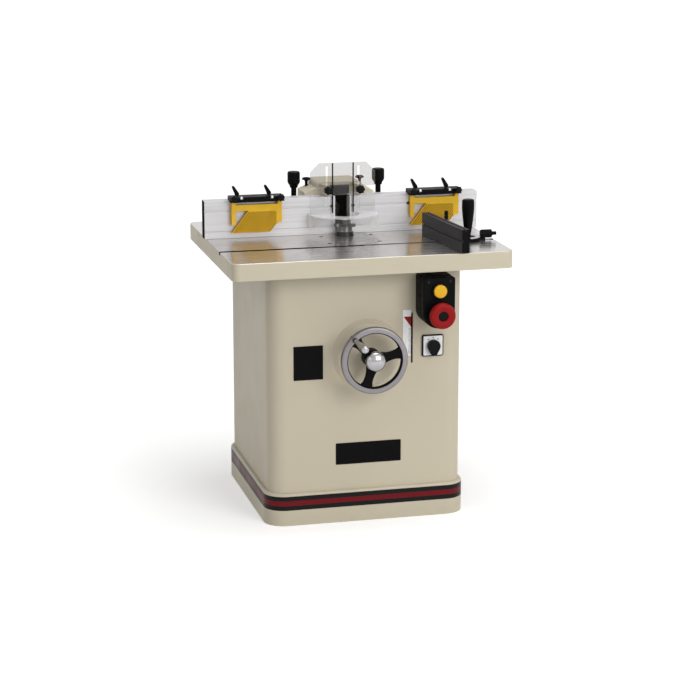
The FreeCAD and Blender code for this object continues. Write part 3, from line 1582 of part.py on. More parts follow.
def mitre_grip():
    start = head_top + d.slide_gap
    low, high = top + d.grip_bottom, top + d.grip_top
    swell = low + (high - low) * HALF_SHARE
    edge = d.grip_radius - d.grip_stem_radius
    outline = [(ZERO, start), (d.grip_stem_radius, start), (d.grip_stem_radius, low - edge),
               (d.grip_waist_radius, low), (d.grip_radius, swell), (d.grip_radius, high - edge / 2),
               (d.grip_radius - edge / 2, high), (ZERO, high)]
    return turned("mitre_grip", "z", pivot_at, outline)


def mitre_lever():
    start = flange_back + d.slide_gap
    at = (-d.lever_y, top + d.lever_z)
    hub = rod("lever_hub", "x", at, (start, start + d.lever_hub), d.lever_hub_radius)
    arm = block("lever_arm", (start, start + d.lever_hub), centred(-d.lever_y, d.lever_arm_width),
                (top + d.lever_z, top + d.lever_z + d.lever_arm))
    return swung(fuse("mitre_lever", hub, arm))


# The whole machine

SINGLE_PARTS = (plinth, cabinet_shell, table, insert_ring_outer, insert_ring_inner, rear_door, door_hinges,
                door_latch, cable_gland, way_casting, carriage, lift_nut, lead_screw, depth_pointer,
                spindle_cartridge, spindle_bearings, spindle_shaft, base_collar, spacer_collar, cutter_head,
                spindle_nut, spindle_pulley, motor, motor_shaft, motor_pulley, drive_belt, handwheel,
                handwheel_shaft, crank_handle, lock_knob, switch_box, start_button, stop_button,
                selector_plate, selector_knob, front_plates, fence_hood, guard_plate, guard_visor,
                mitre_bar, mitre_head, mitre_block, mitre_grip, mitre_lever)
SIDES = (("left", -1, d.feather_left), ("right", 1, d.feather_right))

for make in SINGLE_PARTS:
    node(make())
for side_name, side_sign, board_left in SIDES:
    node(fence_half("fence_" + side_name, side_sign))
    node(clamp_handle("clamp_handle_" + side_name, side_sign))
    node(fence_lock("fence_lock_" + side_name, side_sign))
    node(guard_knob("guard_knob_" + side_name, side_sign))
    node(feather_bar("feather_bar_" + side_name, board_left))
    node(feather_comb("feather_comb_" + side_name, board_left))
    for cam_name, cam_share in zip(("outer", "inner"), FEATHER_CAM_SHARES):
        node(cam_lever("cam_lever_{}_{}".format(side_name, cam_name), board_left, cam_share))
doc.recompute()

for thing in doc.Objects:
    if "Invalid" in thing.State or "Error" in thing.State:
        raise RuntimeError("{} is {}".format(thing.Label, thing.State))
for thing in NODES:
    if thing.Shape.isNull() or not thing.Shape.isValid():
        raise RuntimeError("{} has no valid shape".format(thing.Label))

os.makedirs("parts", exist_ok=True)
for thing in NODES:
    thing.Shape.exportStep(os.path.join("parts", thing.Label + ".step"))
    print("{}: {} solids, {:.0f} cubic mm".format(thing.Label, len(thing.Shape.Solids), thing.Shape.Volume))
print("{} sub-parts".format(len(NODES)))
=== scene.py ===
# %% [markdown]
# # A spindle moulder
# This machine shapes the edges of wood. A cutter turns on an upright spindle in the middle of a ground
# iron table, and the work slides past it along a split fence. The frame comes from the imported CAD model,
# in metres, with X to the right, Y to the back and Z up. Each cell below dresses one group of pieces.

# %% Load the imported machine
import json
import math

import bmesh
import bpy
from mathutils import Matrix, Vector


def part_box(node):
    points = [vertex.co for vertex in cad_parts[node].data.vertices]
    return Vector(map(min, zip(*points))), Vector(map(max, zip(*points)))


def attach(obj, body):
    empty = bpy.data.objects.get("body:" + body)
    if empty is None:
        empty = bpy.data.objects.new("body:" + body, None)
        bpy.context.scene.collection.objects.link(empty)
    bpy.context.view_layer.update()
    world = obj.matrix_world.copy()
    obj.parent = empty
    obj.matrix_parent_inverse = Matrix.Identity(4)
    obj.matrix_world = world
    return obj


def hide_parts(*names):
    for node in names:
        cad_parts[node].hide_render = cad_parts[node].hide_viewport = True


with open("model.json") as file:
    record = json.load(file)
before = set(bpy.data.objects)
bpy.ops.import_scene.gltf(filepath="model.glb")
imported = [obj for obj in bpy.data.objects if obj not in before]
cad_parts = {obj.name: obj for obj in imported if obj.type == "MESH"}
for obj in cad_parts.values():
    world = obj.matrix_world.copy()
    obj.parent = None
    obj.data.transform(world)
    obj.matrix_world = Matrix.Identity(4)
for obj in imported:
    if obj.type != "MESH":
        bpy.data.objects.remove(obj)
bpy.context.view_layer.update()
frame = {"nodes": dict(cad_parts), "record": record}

record = frame["record"]
body_of = {node: body for body, nodes in record["behaviour"]["bodies"].items() for node in nodes}

# %% [markdown]
# ## Camera
# A long lens from the front left, a little above the table, gives the flat perspective of a catalogue
# picture. The camera could be placed by eye, but here the place and the lens come from fitting the edges of
# the table, the cabinet and the plinth, so that every piece lands where it should.

# %% Camera
YAW, PITCH = math.radians(14.16), math.radians(13.66)
LENS_MM, SENSOR_MM, SIGHT = 111.96, 36.0, 200.0
STANDPOINT = (-1.716, -6.874, 2.220)
camera = bpy.data.objects.new("camera", bpy.data.cameras.new("camera"))
camera.data.sensor_width = SENSOR_MM
camera.data.lens = LENS_MM
camera.location = STANDPOINT
camera.rotation_euler = (math.pi / 2 - PITCH, 0.0, -YAW)
camera.data.clip_end = SIGHT
bpy.context.scene.collection.objects.link(camera)
bpy.context.scene.camera = camera
bpy.context.scene.view_settings.view_transform = "Standard"
print("lens:", camera.data.lens)

# %% [markdown]
# ## Finishes
# Every finish is a node tree on Object coordinates, so a pattern stays put when a piece moves. A small
# class keeps the trees short: it adds a node, feeds its sockets with numbers or links, and names the few
# mixes that most finishes share, such as a mottled colour, a varied roughness and a fine bump. Images could
# do the same, but noise has no seams, needs no files and is as fine as the eye wants.

# %% A short way to write finishes
NOISE_LOW, NOISE_HIGH = 0.3, 0.7


class Finish:
    def __init__(self, name, rough=0.5, metal=0.0, shine=0.5):
        self.material = bpy.data.materials.new(name)
        self.material.use_nodes = True
        self.tree = self.material.node_tree
        self.shader = self.tree.nodes["Principled BSDF"]
        self.set("Roughness", rough)
        self.set("Metallic", metal)
        self.set("Specular IOR Level", shine)
        self.coords = self.add("ShaderNodeTexCoord").outputs["Object"]

    def feed(self, socket, value):
        if isinstance(value, bpy.types.NodeSocket):
            self.tree.links.new(value, socket)
        else:
            socket.default_value = value

    def add(self, kind, inputs=None, **settings):
        node = self.tree.nodes.new(kind)
        for key, value in settings.items():
            setattr(node, key, value)
        for key, value in (inputs or {}).items():
            self.feed(node.inputs[key], value)
        return node

    def set(self, name, value):
        self.feed(self.shader.inputs[name], value)

    def math(self, operation, first, second=0.0):
        return self.add("ShaderNodeMath", {0: first, 1: second}, operation=operation).outputs[0]

    def vector(self, operation, first, second=(0, 0, 0), output=0):
        node = self.add("ShaderNodeVectorMath", {0: first, 1: second}, operation=operation)
        return node.outputs[output]

    def level(self):
        """The coordinates with their height taken out."""
        return self.vector("MULTIPLY", self.coords, (1, 1, 0))

    def axis(self, letter):
        return self.add("ShaderNodeSeparateXYZ", {0: self.coords}).outputs["XYZ".index(letter)]

    def noise(self, scale, stretch=(1, 1, 1), detail=3.0):
        mapped = self.add("ShaderNodeMapping", {"Vector": self.coords, "Scale": stretch}).outputs[0]
        return self.add("ShaderNodeTexNoise", {"Vector": mapped, "Scale": scale, "Detail": detail}).outputs[0]

    def spread(self, value, low, high):
        return self.add("ShaderNodeMapRange", {"Value": value, "From Min": NOISE_LOW, "From Max": NOISE_HIGH,
                                               "To Min": low, "To Max": high}).outputs[0]

    def mix(self, factor, first, second):
        node = self.add("ShaderNodeMix", data_type="RGBA")
        for socket, value in ((0, factor), (6, first), (7, second)):
            self.feed(node.inputs[socket], (*value, 1.0) if isinstance(value, tuple) else value)
        return node.outputs[2]

    def band(self, value, low, high):
        over = self.math("GREATER_THAN", value, low)
        return self.math("MULTIPLY", over, self.math("LESS_THAN", value, high))

    def mottled(self, colour, amount, scale):
        dark = tuple(part * (1 - amount) for part in colour)
        pale = tuple(min(1.0, part * (1 + amount)) for part in colour)
        return self.mix(self.spread(self.noise(scale), low=0.0, high=1.0), dark, pale)

    def roughness(self, pattern, rough, less, more):
        self.set("Roughness", self.spread(pattern, rough - less, rough + more))

    def bump(self, height, strength, distance):
        node = self.add("ShaderNodeBump", {"Height": height, "Strength": strength, "Distance": distance})
        self.set("Normal", node.outputs[0])


print("finish helper ready")

# %% Kinds of finish
CLOUD_AMOUNT, CLOUD_SCALE, GLOSS_PATCHES, SPRAY_RIPPLE = 0.025, 2.2, 14.0, 260.0
WORN_SHARE = 0.86
LENGTHWAYS, TURNED = (4, 400, 400), (120, 120, 900)


def painted(name, colour, rough=0.44, shine=0.14):
    """Sprayed enamel: a hint of cloud in the colour and the fine ripple of a sprayed coat."""
    finish = Finish(name, shine=shine)
    finish.set("Base Color", finish.mottled(colour, CLOUD_AMOUNT, CLOUD_SCALE))
    finish.roughness(finish.noise(GLOSS_PATCHES), rough, less=0.05, more=0.06)
    finish.bump(finish.noise(SPRAY_RIPPLE, detail=2.0), strength=0.10, distance=0.0006)
    return finish


def moulded(name, colour, rough=0.42, grain=0.16, shine=0.5):
    """Moulded plastic: an even colour with the fine grain of the mould."""
    finish = Finish(name, shine=shine)
    finish.set("Base Color", finish.mottled(colour, amount=0.06, scale=30.0))
    finish.roughness(finish.noise(scale=55.0), rough, less=0.06, more=0.08)
    finish.bump(finish.noise(scale=1500.0, detail=2.0), strength=grain, distance=0.0003)
    return finish


def brushed(name, colour, rough=0.3, stretch=LENGTHWAYS, metal=1.0, depth=0.12):
    """Bright metal: fine marks drawn out along the way it was ground or turned."""
    finish = Finish(name, metal=metal)
    marks = finish.noise(1.0, stretch, detail=6.0)
    worn = tuple(part * WORN_SHARE for part in colour)
    finish.set("Base Color", finish.mix(finish.spread(marks, low=0.0, high=1.0), worn, colour))
    finish.roughness(marks, rough, less=0.07, more=0.09)
    finish.bump(marks, strength=depth, distance=0.0003)
    return finish


print("kinds of finish: painted, moulded, brushed")

# %% Plain finishes
CREAM = (0.60, 0.540, 0.415)
BLACK = (0.0035, 0.0035, 0.004)
cream_paint = painted("cream_enamel", CREAM)
black_plastic = moulded("black_plastic", BLACK, shine=0.045)
cap_rubber = moulded("cap_rubber", BLACK, rough=0.72, shine=0.01)
black_gloss = moulded("black_gloss_plastic", BLACK, rough=0.26, grain=0.05, shine=0.08)
red_plastic = moulded("red_plastic", (0.28, 0.0045, 0.005), rough=0.42, grain=0.08, shine=0.14)
amber_plastic = moulded("amber_plastic", (0.80, 0.45, 0.020), rough=0.38, grain=0.08, shine=0.18)
yellow_plastic = moulded("yellow_plastic", (0.76, 0.46, 0.028), rough=0.44, shine=0.16)
# Painted shade: a deeper yellow for the walls between the comb's fingers.
finger_shade_yellow = moulded("finger_shade_yellow", (0.62, 0.300, 0.014), rough=0.52, shine=0.10)
white_print = moulded("white_print", (0.85, 0.85, 0.84), rough=0.35, grain=0.04)
black_casting = painted("black_enamel", BLACK, rough=0.44, shine=0.045)
iron_casting = painted("grey_iron", (0.085, 0.085, 0.090), rough=0.62)
motor_paint = painted("motor_enamel", (0.060, 0.066, 0.075), rough=0.45)
steel = brushed("bright_steel", (0.60, 0.60, 0.61), rough=0.26, stretch=TURNED)
polished = brushed("polished_steel", (0.40, 0.39, 0.40), rough=0.22, stretch=(60, 60, 60), depth=0.03)
rim_metal = brushed("satin_rim", (0.235, 0.220, 0.228), rough=0.38, stretch=(90, 90, 90), metal=0.85,
                    depth=0.05)
collar_steel = brushed("collar_steel", (0.115, 0.110, 0.105), rough=0.30, stretch=TURNED)
anodised = brushed("black_anodised", (0.022, 0.021, 0.023), rough=0.48, metal=0.5, depth=0.05)
# Painted shade: a dull dark grey for the inside of the hood and the inner ends of the fences.
painted_shade_grey = painted("painted_shade_grey", (0.105, 0.094, 0.084), rough=0.75, shine=0.03)
dark_steel = brushed("blackened_steel", (0.030, 0.030, 0.032), rough=0.36, stretch=TURNED, metal=0.5)
aluminium = brushed("satin_aluminium", (0.62, 0.62, 0.64), rough=0.36)
bronze = brushed("bronze", (0.62, 0.40, 0.16), rough=0.32, stretch=TURNED)
print("finishes:", len(bpy.data.materials))

# %% [markdown]
# ## Finishes with a pattern of their own
# The table is ground along its length, so its marks are drawn out along X, with darker clouds where oil has
# sat. The plinth has a striped band, the fence is drawn along its length, and the belt has ribs. Each pattern
# is a mask or a wave of the coordinates, because that needs no extra pieces and can't come loose.

# %% Ground and turned iron
def ground_iron():
    finish = Finish("ground_iron", metal=0.9)
    marks = finish.noise(1.0, stretch=(9, 520, 60), detail=7.0)
    stain = finish.noise(scale=5.0, detail=4.0)
    iron = finish.mix(finish.spread(marks, low=0.0, high=1.0), (0.53, 0.503, 0.482), (0.66, 0.632, 0.610))
    oily = finish.mix(finish.spread(stain, low=0.0, high=0.22), iron, (0.38, 0.352, 0.325))
    finish.set("Base Color", oily)
    finish.set("Roughness", finish.spread(marks, low=0.17, high=0.29))
    finish.bump(marks, strength=0.06, distance=0.0005)
    return finish


def turned_face():
    """Steel faced on a lathe: its marks are fine rings round the spindle."""
    finish = Finish("faced_steel", metal=0.9)
    radius = finish.vector("LENGTH", finish.level(), output="Value")
    marks = finish.add("ShaderNodeTexNoise", {"W": radius, "Scale": 900.0, "Detail": 4.0},
                       noise_dimensions="1D").outputs[0]
    faced = finish.mix(finish.spread(marks, low=0.0, high=1.0), (0.40, 0.380, 0.365), (0.52, 0.50, 0.48))
    finish.set("Base Color", faced)
    finish.set("Roughness", finish.spread(marks, low=0.18, high=0.30))
    finish.bump(marks, strength=0.05, distance=0.0003)
    return finish


table_iron = ground_iron()
ring_steel = turned_face()
print("iron finishes:", table_iron.material.name, ring_steel.material.name)

# %% Striped plinth
BAND_LOW, BAND_HIGH, STRIPE_LOW, STRIPE_HIGH = 0.052, 0.099, 0.067, 0.084
BAND_BLACK, STRIPE_RED = (0.003, 0.003, 0.003), (0.15, 0.004, 0.007)


def striped_plinth():
    """Enamel with a black band and a red stripe, on the faces that look outwards."""
    finish = Finish("striped_plinth", shine=0.16)
    facing = finish.add("ShaderNodeTexCoord").outputs["Normal"]
    side = finish.vector("DOT_PRODUCT", finish.level(), facing, output="Value")
    outside = finish.math("GREATER_THAN", side, 0.0)
    colour = finish.mottled(CREAM, CLOUD_AMOUNT, CLOUD_SCALE)
    for low, high, print_colour in ((BAND_LOW, BAND_HIGH, BAND_BLACK), (STRIPE_LOW, STRIPE_HIGH, STRIPE_RED)):
        printed = finish.math("MULTIPLY", outside, finish.band(finish.axis("Z"), low, high))
        colour = finish.mix(printed, colour, print_colour)
    finish.set("Base Color", colour)
    finish.set("Roughness", finish.spread(finish.noise(GLOSS_PATCHES), low=0.33, high=0.44))
    finish.bump(finish.noise(SPRAY_RIPPLE, detail=2.0), strength=0.10, distance=0.0006)
    return finish


plinth_paint = striped_plinth()
print("band from", BAND_LOW, "to", BAND_HIGH)

# %% Fence metal, belt and clear sheet
def fence_extrusion():
    finish = Finish("fence_extrusion", shine=0.4)
    marks = finish.noise(1.0, stretch=(5, 420, 420), detail=6.0)
    bare = finish.mix(finish.spread(marks, low=0.0, high=1.0), (0.55, 0.545, 0.560), (0.66, 0.655, 0.670))
    finish.set("Base Color", bare)
    finish.set("Metallic", finish.spread(marks, low=0.20, high=0.35))
    finish.set("Roughness", finish.spread(marks, low=0.42, high=0.54))
    finish.bump(marks, strength=0.08, distance=0.0003)
    return finish


RIB_WAVES = 1500.0


def ribbed_rubber():
    finish = Finish("belt_rubber", shine=0.2)
    ribs = finish.math("SINE", finish.math("MULTIPLY", finish.axis("Z"), RIB_WAVES))
    finish.set("Base Color", finish.mottled((0.012, 0.012, 0.012), amount=0.08, scale=40.0))
    finish.set("Roughness", finish.spread(finish.noise(scale=50.0), low=0.64, high=0.78))
    finish.bump(ribs, strength=0.7, distance=0.0008)
    return finish


def clear_sheet(name, colour, through, edge):
    """Thin acrylic: what is behind shows, less so where the sheet turns away from the eye."""
    finish = Finish(name, rough=0.06)
    finish.set("Base Color", finish.mottled(colour, amount=0.03, scale=6.0))
    away = finish.add("ShaderNodeLayerWeight", {"Blend": 0.4}).outputs["Facing"]
    cover = finish.add("ShaderNodeMapRange", {"Value": away, "To Min": through, "To Max": edge})
    finish.set("Alpha", cover.outputs[0])
    return finish


fence_metal = fence_extrusion()
belt_rubber = ribbed_rubber()
smoked_acrylic = clear_sheet("smoked_acrylic", (0.22, 0.195, 0.170), through=0.205, edge=0.70)
clear_acrylic = clear_sheet("clear_acrylic", (0.86, 0.855, 0.850), through=0.012, edge=0.72)
print("finishes with the patterned ones:", len(bpy.data.materials))

# %% [markdown]
# ## Tools for making pieces
# Turned pieces are a profile spun round an axis, flat pieces are an outline drawn out and bevelled, and a
# CAD node that only lacks softened edges is copied, welded and bevelled. The three cover almost everything
# here, and each leaves a closed mesh whose place is in its vertices.

# %% Outlines
def arc(centre, radius, begin, end, steps=12):
    """Points on an arc, between two angles in degrees."""
    turns = [math.radians(begin + (end - begin) * step / steps) for step in range(steps + 1)]
    return [(centre[0] + radius * math.cos(turn), centre[1] + radius * math.sin(turn)) for turn in turns]


def round_square(half_u, half_v, corner, steps=6):
    line = []
    for sign_u, sign_v, begin in ((1, 1, 0), (-1, 1, 90), (-1, -1, 180), (1, -1, 270)):
        centre = (sign_u * (half_u - corner), sign_v * (half_v - corner))
        line += arc(centre, corner, begin, begin + 90, steps)
    return line


def lever_outline(hub, tip, length):
    """A lever that stands up from its hub and narrows to a round tip."""
    lean = math.degrees(math.asin((hub - tip) / length))
    return arc((0, length), tip, lean, 180 - lean) + arc((0, 0), hub, 180 - lean, 360 + lean, 24)


def rod_line(radius, low, high):
    """The profile of a rod between two heights."""
    return [(0, low), (radius, low), (radius, high), (0, high)]


def ring_line(inner, outer, low, high):
    """The closed profile of a ring."""
    return [(inner, low), (outer, low), (outer, high), (inner, high), (inner, low)]


def bar_line(begin, end, half):
    """The outline of a thin mark along the first axis."""
    return [(begin, -half), (end, -half), (end, half), (begin, half)]


def below(top, points):
    """Turns points of radius and drop into a profile under a top."""
    return [(radius, top - drop) for radius, drop in points]


LONGEST_SHARE = 0.45


def eased(points, radius, steps=4):
    """Rounds the inner corners of an open line of points."""
    line = [Vector(points[0])]
    for before, corner, after in zip(points, points[1:], points[2:]):
        before, corner, after = Vector(before), Vector(corner), Vector(after)
        shortest = min((before - corner).length, (after - corner).length)
        reach = min(radius, shortest * LONGEST_SHARE)
        start = corner + (before - corner).normalized() * reach
        end = corner + (after - corner).normalized() * reach
        for step in range(steps + 1):
            share = step / steps
            line.append(start.lerp(corner, share).lerp(corner.lerp(end, share), share))
    return line + [Vector(points[-1])]


print("outline helpers ready")

# %% Meshes and places
UP = Matrix.Identity(4)
FRONT = Matrix.Rotation(math.radians(90), 4, "X")
BACK = Matrix.Rotation(math.pi, 4, "Z") @ FRONT
RIGHT = Matrix.Rotation(math.radians(90), 4, "Y")
SHARP, FLAT = math.radians(32), math.radians(0.4)
WELD, CAD_WELD, ON_AXIS = 1e-6, 2e-6, 1e-7


def at(x, y, z, facing=UP):
    return Matrix.Translation((x, y, z)) @ facing


def turned_by(degrees):
    return Matrix.Rotation(math.radians(degrees), 4, "Z")


def as_piece(name, mesh, place=UP):
    """Makes an object of a mesh, shaded smooth but for its sharp edges and those already marked."""
    mesh.transform(place)
    marked = [edge.index for edge in mesh.edges if edge.use_edge_sharp]
    mesh.shade_smooth()
    mesh.set_sharp_from_angle(angle=SHARP)
    for index in marked:
        mesh.edges[index].use_edge_sharp = True
    piece = bpy.data.objects.new(name, mesh)
    bpy.context.scene.collection.objects.link(piece)
    return piece


def closed_mesh(name, bm):
    bmesh.ops.remove_doubles(bm, verts=bm.verts, dist=WELD)
    bmesh.ops.recalc_face_normals(bm, faces=bm.faces)
    mesh = bpy.data.meshes.new(name)
    bm.to_mesh(mesh)
    bm.free()
    return mesh


def coat(piece, finish):
    piece.data.materials.clear()
    piece.data.materials.append(finish.material)
    return piece


print("mesh helpers ready")


# %% Turned, drawn-out and softened pieces
def lathe(name, profile, place, finish, steps=72, lobes=0, lobe_depth=0.0):
    """Spins points of radius and height round the local Z axis; lobes make a wavy knob or a gear's teeth."""
    bm = bmesh.new()
    turns = [2 * math.pi * step / steps for step in range(steps)]
    rings = []
    for radius, height in profile:
        if radius < ON_AXIS:
            rings.append([bm.verts.new((0, 0, height))] * steps)
            continue
        waves = [radius * (1 - lobe_depth * (0.5 - 0.5 * math.cos(lobes * turn))) for turn in turns]
        rings.append([bm.verts.new((wave * math.cos(turn), wave * math.sin(turn), height))
                      for wave, turn in zip(waves, turns)])
    for lower, upper in zip(rings, rings[1:]):
        for step in range(steps):
            after = (step + 1) % steps
            corners = list(dict.fromkeys((lower[step], lower[after], upper[after], upper[step])))
            if len(corners) > 2:
                bm.faces.new(corners)
    return coat(as_piece(name, closed_mesh(name, bm), place), finish)


def bevel_sharp(bm, width, segments=2):
    """Bevels the sharp edges, and marks where a bevel ends so that the flat beside it looks flat."""
    edges = [edge for edge in bm.edges if len(edge.link_faces) == 2 and edge.calc_face_angle(0.0) > SHARP]
    made = bmesh.ops.bevel(bm, geom=edges, offset=width, segments=segments, profile=0.5, affect="EDGES",
                           clamp_overlap=True)
    fresh = set(made["faces"])
    for edge in bm.edges:
        if sum(face in fresh for face in edge.link_faces) == 1:
            edge.smooth = False


def slab(name, outline, depth, place, finish, bevel=0.0, segments=2):
    """Draws an outline out along the local Z axis and bevels its edges."""
    bm = bmesh.new()
    floor = bm.faces.new([bm.verts.new((u, v, 0)) for u, v in outline])
    drawn = bmesh.ops.extrude_face_region(bm, geom=[floor])["geom"]
    lifted = [part for part in drawn if isinstance(part, bmesh.types.BMVert)]
    bmesh.ops.translate(bm, vec=(0, 0, depth), verts=lifted)
    bmesh.ops.recalc_face_normals(bm, faces=bm.faces)
    if bevel:
        bevel_sharp(bm, bevel, segments)
    return coat(as_piece(name, closed_mesh(name, bm), place), finish)


def softened(node, width, finish, segments=2, keep=None):
    """A copy of a CAD node with its sharp edges bevelled; keep says which of its corners stay."""
    bm = bmesh.new()
    bm.from_mesh(frame["nodes"][node].data)
    bmesh.ops.remove_doubles(bm, verts=bm.verts, dist=CAD_WELD)
    if keep:
        bmesh.ops.delete(bm, geom=[vert for vert in bm.verts if not keep(vert.co)], context="VERTS")
        bmesh.ops.holes_fill(bm, edges=[edge for edge in bm.edges if edge.is_boundary])
        bmesh.ops.recalc_face_normals(bm, faces=bm.faces)
    bmesh.ops.dissolve_limit(bm, angle_limit=FLAT, verts=bm.verts, edges=bm.edges)
    bevel_sharp(bm, width, segments)
    mesh = bpy.data.meshes.new(node + "_soft")
    bm.to_mesh(mesh)
    bm.free()
    return coat(as_piece(node + "_soft", mesh), finish)


print("shaping helpers ready")


# %% Painting, joining and dressing
def paint_where(piece, finish, chosen):
    """Gives another finish to the faces that chosen picks by their middle and normal."""
    piece.data.materials.append(finish.material)
    for face in piece.data.polygons:
        if chosen(face.center, face.normal):
            face.material_index = len(piece.data.materials) - 1
    return piece


def joined(name, pieces):
    """Gathers pieces into one object, which keeps their finishes."""
    bm = bmesh.new()
    mesh = bpy.data.meshes.new(name)
    finishes = []
    for piece in pieces:
        first = len(bm.faces)
        bm.from_mesh(piece.data)
        bm.faces.ensure_lookup_table()
        own = list(piece.data.materials)
        finishes += [material for material in own if material not in finishes]
        for face in bm.faces[first:]:
            face.material_index = finishes.index(own[face.material_index])
    bm.to_mesh(mesh)
    bm.free()
    for material in finishes:
        mesh.materials.append(material)
    for piece in pieces:
        bpy.data.meshes.remove(piece.data)
    return as_piece(name, mesh)


def dress(piece, node, hides=True):
    """Puts a piece on the body of a CAD node, which it may stand for."""
    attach(piece, body_of[node])
    if hides:
        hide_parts(node)
    return piece


def middle_of(node):
    """The middle of a CAD node's box."""
    low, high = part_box(node)
    return (Vector(low) + Vector(high)) / 2


print("dressing helpers ready")

# %% [markdown]
# ## Repeats by Geometry Nodes
# Screws, ticks, flutes, fins and louvres repeat in a ring or a row. An Array modifier could do a row, but a
# tree does the ring as well. One small tree for each layout places an item, with its count and spacing as
# named inputs, so that a change is one number.

# %% Ring and row trees
def layout_tree(name, sockets):
    tree = bpy.data.node_groups.new(name, "GeometryNodeTree")
    kinds = {"Item": "NodeSocketObject", "Count": "NodeSocketInt", "Radius": "NodeSocketFloat",
             "Start": "NodeSocketVector", "Step": "NodeSocketVector", "Finish": "NodeSocketMaterial"}
    for socket in sockets:
        tree.interface.new_socket(name=socket, in_out="INPUT", socket_type=kinds[socket])
    tree.interface.new_socket(name="Geometry", in_out="OUTPUT", socket_type="NodeSocketGeometry")
    return tree, tree.nodes.new("NodeGroupInput"), tree.nodes.new("NodeGroupOutput")


def finish_layout(tree, given, result, points, rotation=None):
    item = tree.nodes.new("GeometryNodeObjectInfo")
    spread = tree.nodes.new("GeometryNodeInstanceOnPoints")
    realize = tree.nodes.new("GeometryNodeRealizeInstances")
    painter = tree.nodes.new("GeometryNodeSetMaterial")
    link = tree.links.new
    link(given.outputs["Item"], item.inputs["Object"])
    link(points, spread.inputs["Points"])
    link(item.outputs["Geometry"], spread.inputs["Instance"])
    if rotation:
        link(rotation, spread.inputs["Rotation"])
    link(spread.outputs["Instances"], realize.inputs["Geometry"])
    link(realize.outputs["Geometry"], painter.inputs["Geometry"])
    link(given.outputs["Finish"], painter.inputs["Material"])
    link(painter.outputs["Geometry"], result.inputs["Geometry"])


def ring_tree():
    tree, given, result = layout_tree("ring_of_items", ("Item", "Count", "Radius", "Finish"))
    circle = tree.nodes.new("GeometryNodeMeshCircle")
    place = tree.nodes.new("GeometryNodeInputPosition")
    turn = tree.nodes.new("FunctionNodeAlignRotationToVector")
    turn.axis = "X"
    tree.links.new(given.outputs["Count"], circle.inputs["Vertices"])
    tree.links.new(given.outputs["Radius"], circle.inputs["Radius"])
    tree.links.new(place.outputs[0], turn.inputs["Vector"])
    finish_layout(tree, given, result, circle.outputs["Mesh"], turn.outputs["Rotation"])
    return tree


def row_tree():
    tree, given, result = layout_tree("row_of_items", ("Item", "Count", "Start", "Step", "Finish"))
    line = tree.nodes.new("GeometryNodeMeshLine")
    line.mode = "OFFSET"
    tree.links.new(given.outputs["Count"], line.inputs["Count"])
    tree.links.new(given.outputs["Start"], line.inputs["Start Location"])
    tree.links.new(given.outputs["Step"], line.inputs["Offset"])
    finish_layout(tree, given, result, line.outputs["Mesh"])
    return tree


RING, ROW = ring_tree(), row_tree()
print("layouts:", RING.name, ROW.name)


# %% Laying out an item
def repeated(name, tree, item, place=UP, **values):
    """Lays an item out with a tree, and keeps the result as a plain mesh."""
    holder = bpy.data.objects.new(name + "_layout", bpy.data.meshes.new(name + "_layout"))
    bpy.context.scene.collection.objects.link(holder)
    modifier = holder.modifiers.new("layout", "NODES")
    modifier.node_group = tree
    values = dict(values, Item=item, Finish=item.data.materials[0])
    for socket in tree.interface.items_tree:
        if socket.in_out == "INPUT":
            modifier[socket.identifier] = values[socket.name]
    graph = bpy.context.evaluated_depsgraph_get()
    mesh = bpy.data.meshes.new_from_object(holder.evaluated_get(graph))
    bpy.data.objects.remove(holder)
    bpy.data.meshes.remove(item.data)
    print(name, "items:", values["Count"], "faces:", len(mesh.polygons))
    return as_piece(name, mesh, place)


SOCKET_SHARE, FLOOR_SHARE, RIM_SHARE = 0.52, 0.45, 0.14


def cap_screw(radius, height, finish, facing=UP):
    """A socket-head screw at the origin."""
    socket, floor = radius * SOCKET_SHARE, height * FLOOR_SHARE
    profile = [(0, 0), (radius, 0), (radius, height), (socket, height), (socket, floor), (0, floor)]
    return lathe("screw", eased(profile, radius * RIM_SHARE, 2), facing, finish, steps=18)


print("layout helpers ready")

# %% [markdown]
# ## Painted sheet metal, the table and what is hidden inside
# The cabinet and the plinth are right as CAD solids, so they only get their paint, and so do most pieces
# inside. The table is copied to soften its edges, because a ground edge catches a thin line of light. Its
# faces are sorted by their place and normal: ground iron on top, paint on the sides, and black enamel in the
# slot and the holes as painted shade.

# %% Painted CAD nodes
NODE_FINISHES = {
    cream_paint: ("cabinet_shell",),
    plinth_paint: ("plinth",),
    ring_steel: ("insert_ring_outer", "insert_ring_inner"),
    iron_casting: ("way_casting", "carriage", "spindle_cartridge", "spindle_pulley", "motor_pulley"),
    steel: ("spindle_bearings", "spindle_shaft", "motor_shaft", "door_hinges"),
    motor_paint: ("motor",),
    belt_rubber: ("drive_belt",),
    dark_steel: ("depth_pointer",),
    bronze: ("lift_nut",),
}
for finish, nodes in NODE_FINISHES.items():
    for node in nodes:
        coat(frame["nodes"][node], finish)
print("finishes on CAD nodes:", len(NODE_FINISHES))

# %% Table
table_low, table_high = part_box("table")
table_top = table_high.z
TABLE_BEVEL = 0.0006
GROUND_DEEP, GROUND_MARGIN, CORNER = 0.0155, 0.001, 0.030
SLOT_Y, SLOT_HALF, SLOT_DEEP = -0.192, 0.0105, 0.017
HOLE_REACH, CUT_LIP = 0.0085, 0.0001
HOLES = (Vector((0.084, -0.015)), Vector((0.084, -0.135)))
FACING = 0.5


def is_ground(middle, normal):
    if middle.z < table_top - GROUND_DEEP:
        return False
    inside_x = table_low.x + GROUND_MARGIN < middle.x < table_high.x - GROUND_MARGIN
    inside_y = table_low.y + CORNER < middle.y < table_high.y - CORNER
    return normal.z > FACING or (inside_x and inside_y)


def is_underside(middle, normal):
    return middle.z < table_top - GROUND_DEEP and normal.z < -FACING
